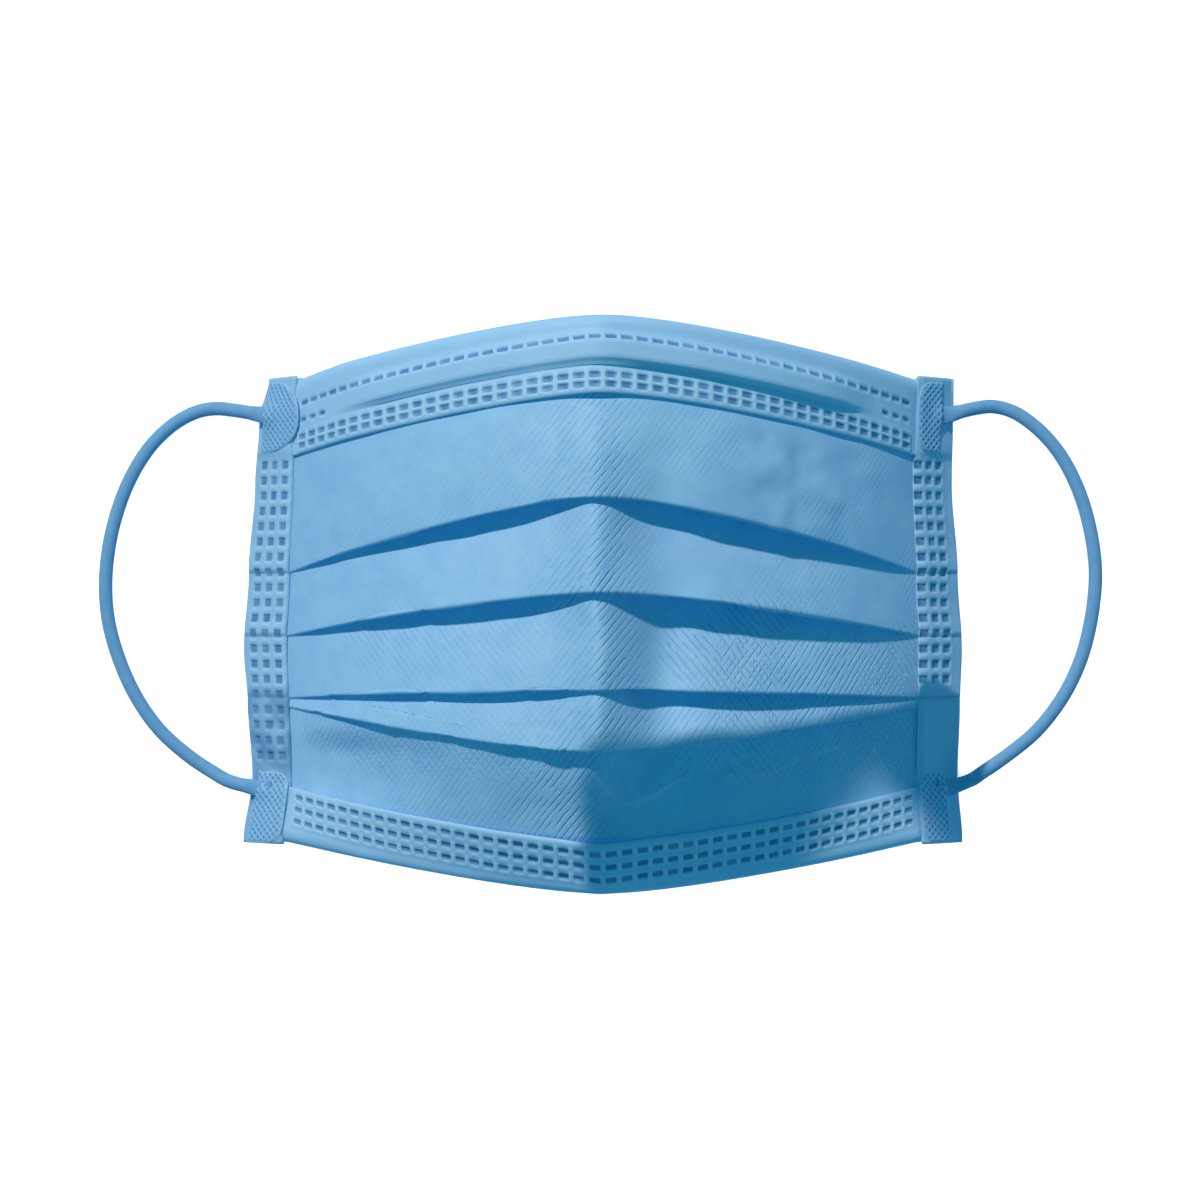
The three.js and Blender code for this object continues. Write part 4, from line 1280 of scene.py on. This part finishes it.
def press_marks(piece, rows, width, reach, sizes, material, seed, lowest=-1.0):
    """Presses a strip's rows of weld marks, row set by row set."""
    tree = tree_named("Weld press", weld_press_tree)
    for k, row in enumerate(rows):
        values = {
            "Pitch": sizes.mark_pitch, "Long": row["long"], "Wide": row["wide"], "Wall": WALL,
            "Depth": sizes.mark_depth, "First lane": row["first"] * width, "Lane step": row["step"] * width,
            "Lanes": row["rows"], "Start": row["start"] * reach, "End": row["end"] * reach, "Lowest": lowest,
            "Seed": seed + k, "Puff": row["puff"], "Rib": row["rib"], "Material": material,
        }
        run_tree(piece, tree, values)
    made_plain(piece)


class MASK_OT_hems(bpy.types.Operator):
    """Makes the nose hem with the wire's ridge, and the chin hem, with their weld marks"""

    bl_idname = "mask.hems"
    bl_label = "Hems"

    def execute(self, context):
        sizes = context.scene.mask_sizes
        form = MaskForm(sizes)
        material = hem_material("Hem cloth", 1.0)
        reach = float(form.run_of(form.band_start))
        for name, width, seed in (("top_hem", sizes.top_hem, 40), ("bottom_hem", sizes.bottom_hem, 60)):
            piece = make_hem(form, sizes, name, width)
            press_marks(piece, MARK_ROWS[name], width, reach, sizes, material, seed)
            finish_piece(piece, [name], material)
        return {"FINISHED"}


def make_hem(form, sizes, name, width):
    """A strip folded round the cloth's edge: a short flap behind, the fold, and the long flap in front."""
    is_top = name == "top_hem"
    rows = MARK_ROWS[name]
    reach = float(form.run_of(form.band_start + 4 * MM / form.half))
    runs = mark_lines(sizes.mark_pitch, rows[0]["long"], WALL, reach)
    t = form.share_of(runs)
    edge, along, out, length = form.hem_frame(t, is_top)
    scale = form.steepness(t)
    offset = (sizes.cloth + sizes.gap) * scale
    lanes = lane_lines(width, rows, WALL, LANE_STEP)
    outer = form.edge
    lines = []

    def put(s, n):
        s, n = (np.broadcast_to(value, t.shape)[:, None] for value in (s, n))
        lines.append(edge + along * s + out * n)

    off_ridge = np.hypot(runs - sizes.ridge_place, 3 * MM) - 3 * MM
    ridge = 1.2 * MM * np.exp(-off_ridge / (5 * MM))
    marks = []
    for s in np.linspace(sizes.hem_back, 0.0, 6):
        put(s, -offset)
        marks.append(-s - outer)
    for angle in np.linspace(0.0, math.pi, 9)[1:-1]:
        put(-offset * math.sin(angle), -offset * math.cos(angle))
        marks.append(-outer * math.sin(angle))
    first = len(lines)
    for lane in lanes[lanes >= outer]:
        share = (lane - outer) / (width - outer)
        rise = wire_ridge(lane, t, form, sizes) if is_top else 0.0
        puffs = 0.2 * MM * cloud(runs, np.full_like(runs, lane), 8 * MM, 51 if is_top else 52)
        put(share * length, lerp(offset, 0.66 * MM * scale, share) + rise * scale + puffs + ridge)
        marks.append(lane)
    y, z = np.moveaxis(np.array(lines), -1, 0)
    middle = np.stack([form.across(np.broadcast_to(t, y.shape), y), y, z], axis=-1)
    lane = np.broadcast_to(np.array(marks)[:, None], y.shape)
    fields = {"run": np.broadcast_to(runs, y.shape), "lane": lane, "pressed": np.zeros(y.shape)}
    middle, normals, fields = facing_up(middle, fields, slice(first, None))
    return shell(name + "_cloth", middle, normals, sizes.shown_wall, fields)


def wire_ridge(lane, t, form, sizes):
    """How far the nose hem stands off the cloth over the wire."""
    off = lane - sizes.wire_drop
    fade = 1.0 * MM if off > 0 else 2.6 * MM
    past = np.abs(t) * form.half - sizes.wire_length / 2 + 3 * MM
    rise = 1 - smooth((abs(off) - sizes.wire_width / 2 + 0.3 * MM) / fade)
    height = sizes.wire_rise * lerp(0.6, 1.0, smooth(0.5 + 2 * t))
    return height * rise * (1 - smooth(past / (12 * MM)))


def off_band(form, t, y, side, offset):
    """X, on the right-hand side, and Z of a point off the cloth's middle surface under a binding."""
    small = 1e-4
    x0, x1 = (side * form.across(side * (t + d), y) for d in (-small, small))
    z0, z1 = form.arch(t - small), form.arch(t + small)
    length = np.hypot(x1 - x0, z1 - z0)
    x = side * form.across(side * t, y)
    return x - offset * (z1 - z0) / length, form.arch(t) + offset * (x1 - x0) / length


def tape_lift(form, y, share):
    """How far a binding's middle stands off the cloth's: low on the pleats, higher on the hems."""
    sizes = form.sizes
    top = NOSE_EDGE["side"] * sizes.side_height - sizes.top_hem
    bottom = CHIN_EDGE["side"] * sizes.side_height + sizes.bottom_hem
    on_hem = smooth((y - top) / (2 * MM) + 0.5) + smooth((bottom - y) / (2 * MM) + 0.5)
    outer = np.clip(np.maximum((y - top) / sizes.top_hem, (bottom - y) / sizes.bottom_hem), 0.0, 1.0)
    lift = 0.95 * MM + (0.4 + 0.6 * outer) * MM * on_hem
    for pleat in STEPPED:
        below = pleat["side"] * sizes.side_height - y
        lift = lift + 0.32 * MM * (1 - smooth(below / (0.3 * MM) + 0.5)) * smooth(1 + below / (6 * MM))
    return lift - 0.5 * MM * (1 - smooth(share / 0.1))


class MASK_OT_bindings(bpy.types.Operator):
    """Makes the two side bindings with their weld marks"""

    bl_idname = "mask.bindings"
    bl_label = "Side bindings"

    def execute(self, context):
        sizes = context.scene.mask_sizes
        form = MaskForm(sizes)
        material = hem_material("Binding cloth", 0.93)
        for side_name, side in SIDES.items():
            name = "side_binding_" + side_name
            piece = make_binding(form, sizes, name, side)
            rows, lowest = MARK_ROWS[name], LOWEST_MARK[side_name]
            press_marks(piece, rows, sizes.binding, BINDING_MARKS, sizes, material, 80 + side, lowest)
            finish_piece(piece, [name], material)
        return {"FINISHED"}


def make_binding(form, sizes, name, side):
    """A strip folded round the side edge: front flap, the fold that stands on the table, and back flap."""
    top = NOSE_EDGE["side"] * sizes.side_height
    bottom = CHIN_EDGE["side"] * sizes.side_height
    half = (top - bottom) / 2
    rows = MARK_ROWS[name]
    runs = mark_lines(sizes.mark_pitch, rows[0]["long"], WALL, half)
    y = runs + (top + bottom) / 2
    width = sizes.binding
    lanes = lane_lines(width, rows, WALL, LANE_STEP)
    lines, marks, rises = [], [], []
    corner = smooth((y - top + 8 * MM) / (8 * MM))
    low = smooth((-17 * MM - y) / (3 * MM)) * smooth((y + 37 * MM) / (4 * MM)) * (side < 0)
    crumpled = (0.12 + 0.38 * low) * MM
    for lane in lanes:
        t = lerp(form.band_start, 1.0, lane / width)
        creases = crumpled * cloud(y, np.full_like(y, lane), 3.5 * MM, 70 + side)
        lift = tape_lift(form, y, lane / width) + creases * smooth(lane / (1.5 * MM))
        lines.append(np.stack(off_band(form, t, y, side, lift), axis=-1))
        marks.append(lane)
        rises.append(sizes.corner_rise * (1 - lane / width) * corner)
    outer = form.half - form.draw_in(y, np.full_like(y, side)) + form.band_offset
    ground = sizes.cloth / 2
    slope = (sizes.arch - form.foot) / form.half * lerp(2.0, 1.0, form.crease)
    last = lines[-1]
    knee = np.stack([outer, last[:, 1] - (outer - last[:, 0]) * slope], axis=-1)
    foot = np.stack([outer, np.full_like(y, ground)], axis=-1)
    backs = [np.stack(off_band(form, s, y, side, -form.band_offset), axis=-1)
             for s in np.linspace(1.0, form.back_start, 6)]
    heel = np.stack([backs[0][:, 0] + (backs[0][:, 1] - ground) / slope, np.full_like(y, ground)], axis=-1)
    turn = [last, lerp(last, knee, 0.5), knee, lerp(knee, foot, 0.5), foot, heel, *backs]
    for k in range(1, len(turn)):
        for s in (0.33, 0.66, 1.0):
            lines.append(lerp(turn[k - 1], turn[k], s))
            marks.append(width + (k - 1 + s) * MM)
            rises.append(np.zeros_like(y))
    points = softened(np.array(lines), 2)
    points = np.concatenate([np.array(lines)[: len(lanes)], points[len(lanes):]])
    ys = y + np.array(rises)
    middle = np.stack([side * points[..., 0], ys, np.maximum(points[..., 1], sizes.shown_wall / 2)], axis=-1)
    lane = np.broadcast_to(np.array(marks)[:, None], ys.shape)
    run = np.broadcast_to(runs, ys.shape)
    # Painted shade on the binding: shadow lines under the lips' steps and shade on its crumpled lower left.
    fields = {"run": run, "lane": lane, "pressed": tape_painted_shade(ys, run, lane, side, sizes)}
    middle, normals, fields = facing_up(middle, fields, slice(len(lanes)))
    return shell(name + "_tape", middle, normals, sizes.tape_wall, fields)


def tape_painted_shade(y, run, lane, side, sizes):
    """Painted shade on a binding: low on the left, over its crumpled tape, and a painted shadow line where a lip
    steps under it.
    """
    # Painted shade over the crumpled lower part of the left binding.
    crumple_shade = smooth((-15 * MM - y) / (4 * MM)) * (side < 0)
    painted_shade = crumple_shade * (0.28 + 0.4 * smooth(0.5 + cloud(run, lane, 3 * MM, 77)))
    # A painted shadow line just below each lip that steps under the binding.
    for pleat in STEPPED:
        off_step = np.abs(y - pleat["side"] * sizes.side_height + 0.2 * MM)
        painted_shade = np.maximum(painted_shade, 0.55 * (1 - smooth(off_step / (0.6 * MM))))
    return painted_shade


class MASK_OT_loop_welds(bpy.types.Operator):
    """Makes the knurled welds that hold the ear loops' ends"""

    bl_idname = "mask.loop_welds"
    bl_label = "Loop welds"

    def execute(self, context):
        sizes = context.scene.mask_sizes
        colours = context.scene.mask_colours
        form = MaskForm(sizes)
        deep = [channel * 0.88 for channel in colours.hem]
        material = cloth_material("Welded end", deep, deep, KNURL_DENT, False)
        tree = tree_named("Diamond knurl", knurl_tree)
        for name, weld in WELDS.items():
            piece = make_weld(form, sizes, name, weld)
            run_tree(piece, tree, {"Pitch": sizes.knurl, "Height": 0.16 * MM, "Material": material})
            made_plain(piece)
            finish_piece(piece, [name], material)
        return {"FINISHED"}


def make_weld(form, sizes, name, weld):
    """A thin pad on the binding, straight on its outer side and rounded on its inner side."""
    rows, columns = 120, 60
    row = np.sin(np.linspace(-1.0, 1.0, rows) * math.pi / 2)[:, None]
    share = np.linspace(0.0, 1.0, columns)[None, :]
    square = weld["square"]
    outer = weld["outer"]
    reach = (outer - weld["inner"]) * (1 - np.abs(row) ** square) ** (1 / square)
    y = weld["height"] * sizes.side_height + row * sizes.weld_height / 2
    lane = outer - reach * (1 - share) - 0.02 * (1 - share)
    t = lerp(form.band_start, 1.0, lane)
    ys = np.broadcast_to(y, t.shape)
    off_sides = np.minimum(share, 1 - share) * reach * sizes.binding
    off_ends = (1 - np.abs(row)) * sizes.weld_height / 2
    inset = smooth(np.minimum(off_sides, off_ends) / (0.8 * MM))
    off_cord = (ys - cord_height(weld, sizes)) / (2.2 * MM)
    over_cord = np.exp(-(off_cord**2)) * smooth((lane - 0.3) / 0.4)
    lift = tape_lift(form, ys, np.ones_like(t)) + 0.2 * MM + 0.1 * MM * inset + 0.7 * MM * over_cord * inset
    x, z = off_band(form, t, ys, np.full_like(t, weld["side"]), lift)
    middle = np.stack([weld["side"] * x, ys, z], axis=-1)
    fields = {"run": form.run_of(t), "lane": ys, "inset": inset, "pressed": np.zeros_like(t)}
    middle, normals, fields = facing_up(middle, fields)
    return shell(name + "_pad", middle, normals, sizes.pad_wall, fields)


class MASK_OT_nose_wire(bpy.types.Operator):
    """Gives the hidden nose wire its plastic"""

    bl_idname = "mask.nose_wire"
    bl_label = "Nose wire"

    def execute(self, context):
        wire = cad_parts["nose_wire"]
        wire.data.materials.clear()
        wire.data.materials.append(wire_material(context.scene.mask_colours))
        return {"FINISHED"}


class MASK_PT_sidebar(bpy.types.Panel):
    """The mask's sizes, colours and pieces"""

    bl_idname = "MASK_PT_sidebar"
    bl_label = "Face mask"
    bl_space_type = "VIEW_3D"
    bl_region_type = "UI"
    bl_category = "Mask"

    def draw(self, context):
        for group in (context.scene.mask_sizes, context.scene.mask_colours, context.scene.mask_stage):
            box = self.layout.box()
            for name in group.__annotations__:
                box.prop(group, name)
        for operator in OPERATORS:
            self.layout.operator(operator.bl_idname)


OPERATORS = (
    MASK_OT_stage, MASK_OT_ear_loops, MASK_OT_cloth, MASK_OT_hems, MASK_OT_bindings, MASK_OT_loop_welds,
    MASK_OT_nose_wire,
)
GROUPS = {"mask_sizes": MaskSizes, "mask_colours": MaskColours, "mask_stage": StageSettings}


def register():
    """Registers the property groups, operators and panel."""
    for name, group in GROUPS.items():
        bpy.utils.register_class(group)
        setattr(bpy.types.Scene, name, PointerProperty(type=group))
    for made in (*OPERATORS, MASK_PT_sidebar):
        bpy.utils.register_class(made)


def unregister():
    """Takes everything away that register added."""
    for made in (MASK_PT_sidebar, *reversed(OPERATORS)):
        bpy.utils.unregister_class(made)
    for name, group in GROUPS.items():
        delattr(bpy.types.Scene, name)
        bpy.utils.unregister_class(group)


def main():
    """Builds the stage and every piece."""
    register()
    for operator in OPERATORS:
        group, name = operator.bl_idname.split(".")
        getattr(getattr(bpy.ops, group), name)()
    declare_cords()
    link_lights()


if __name__ == "__main__":
    main()
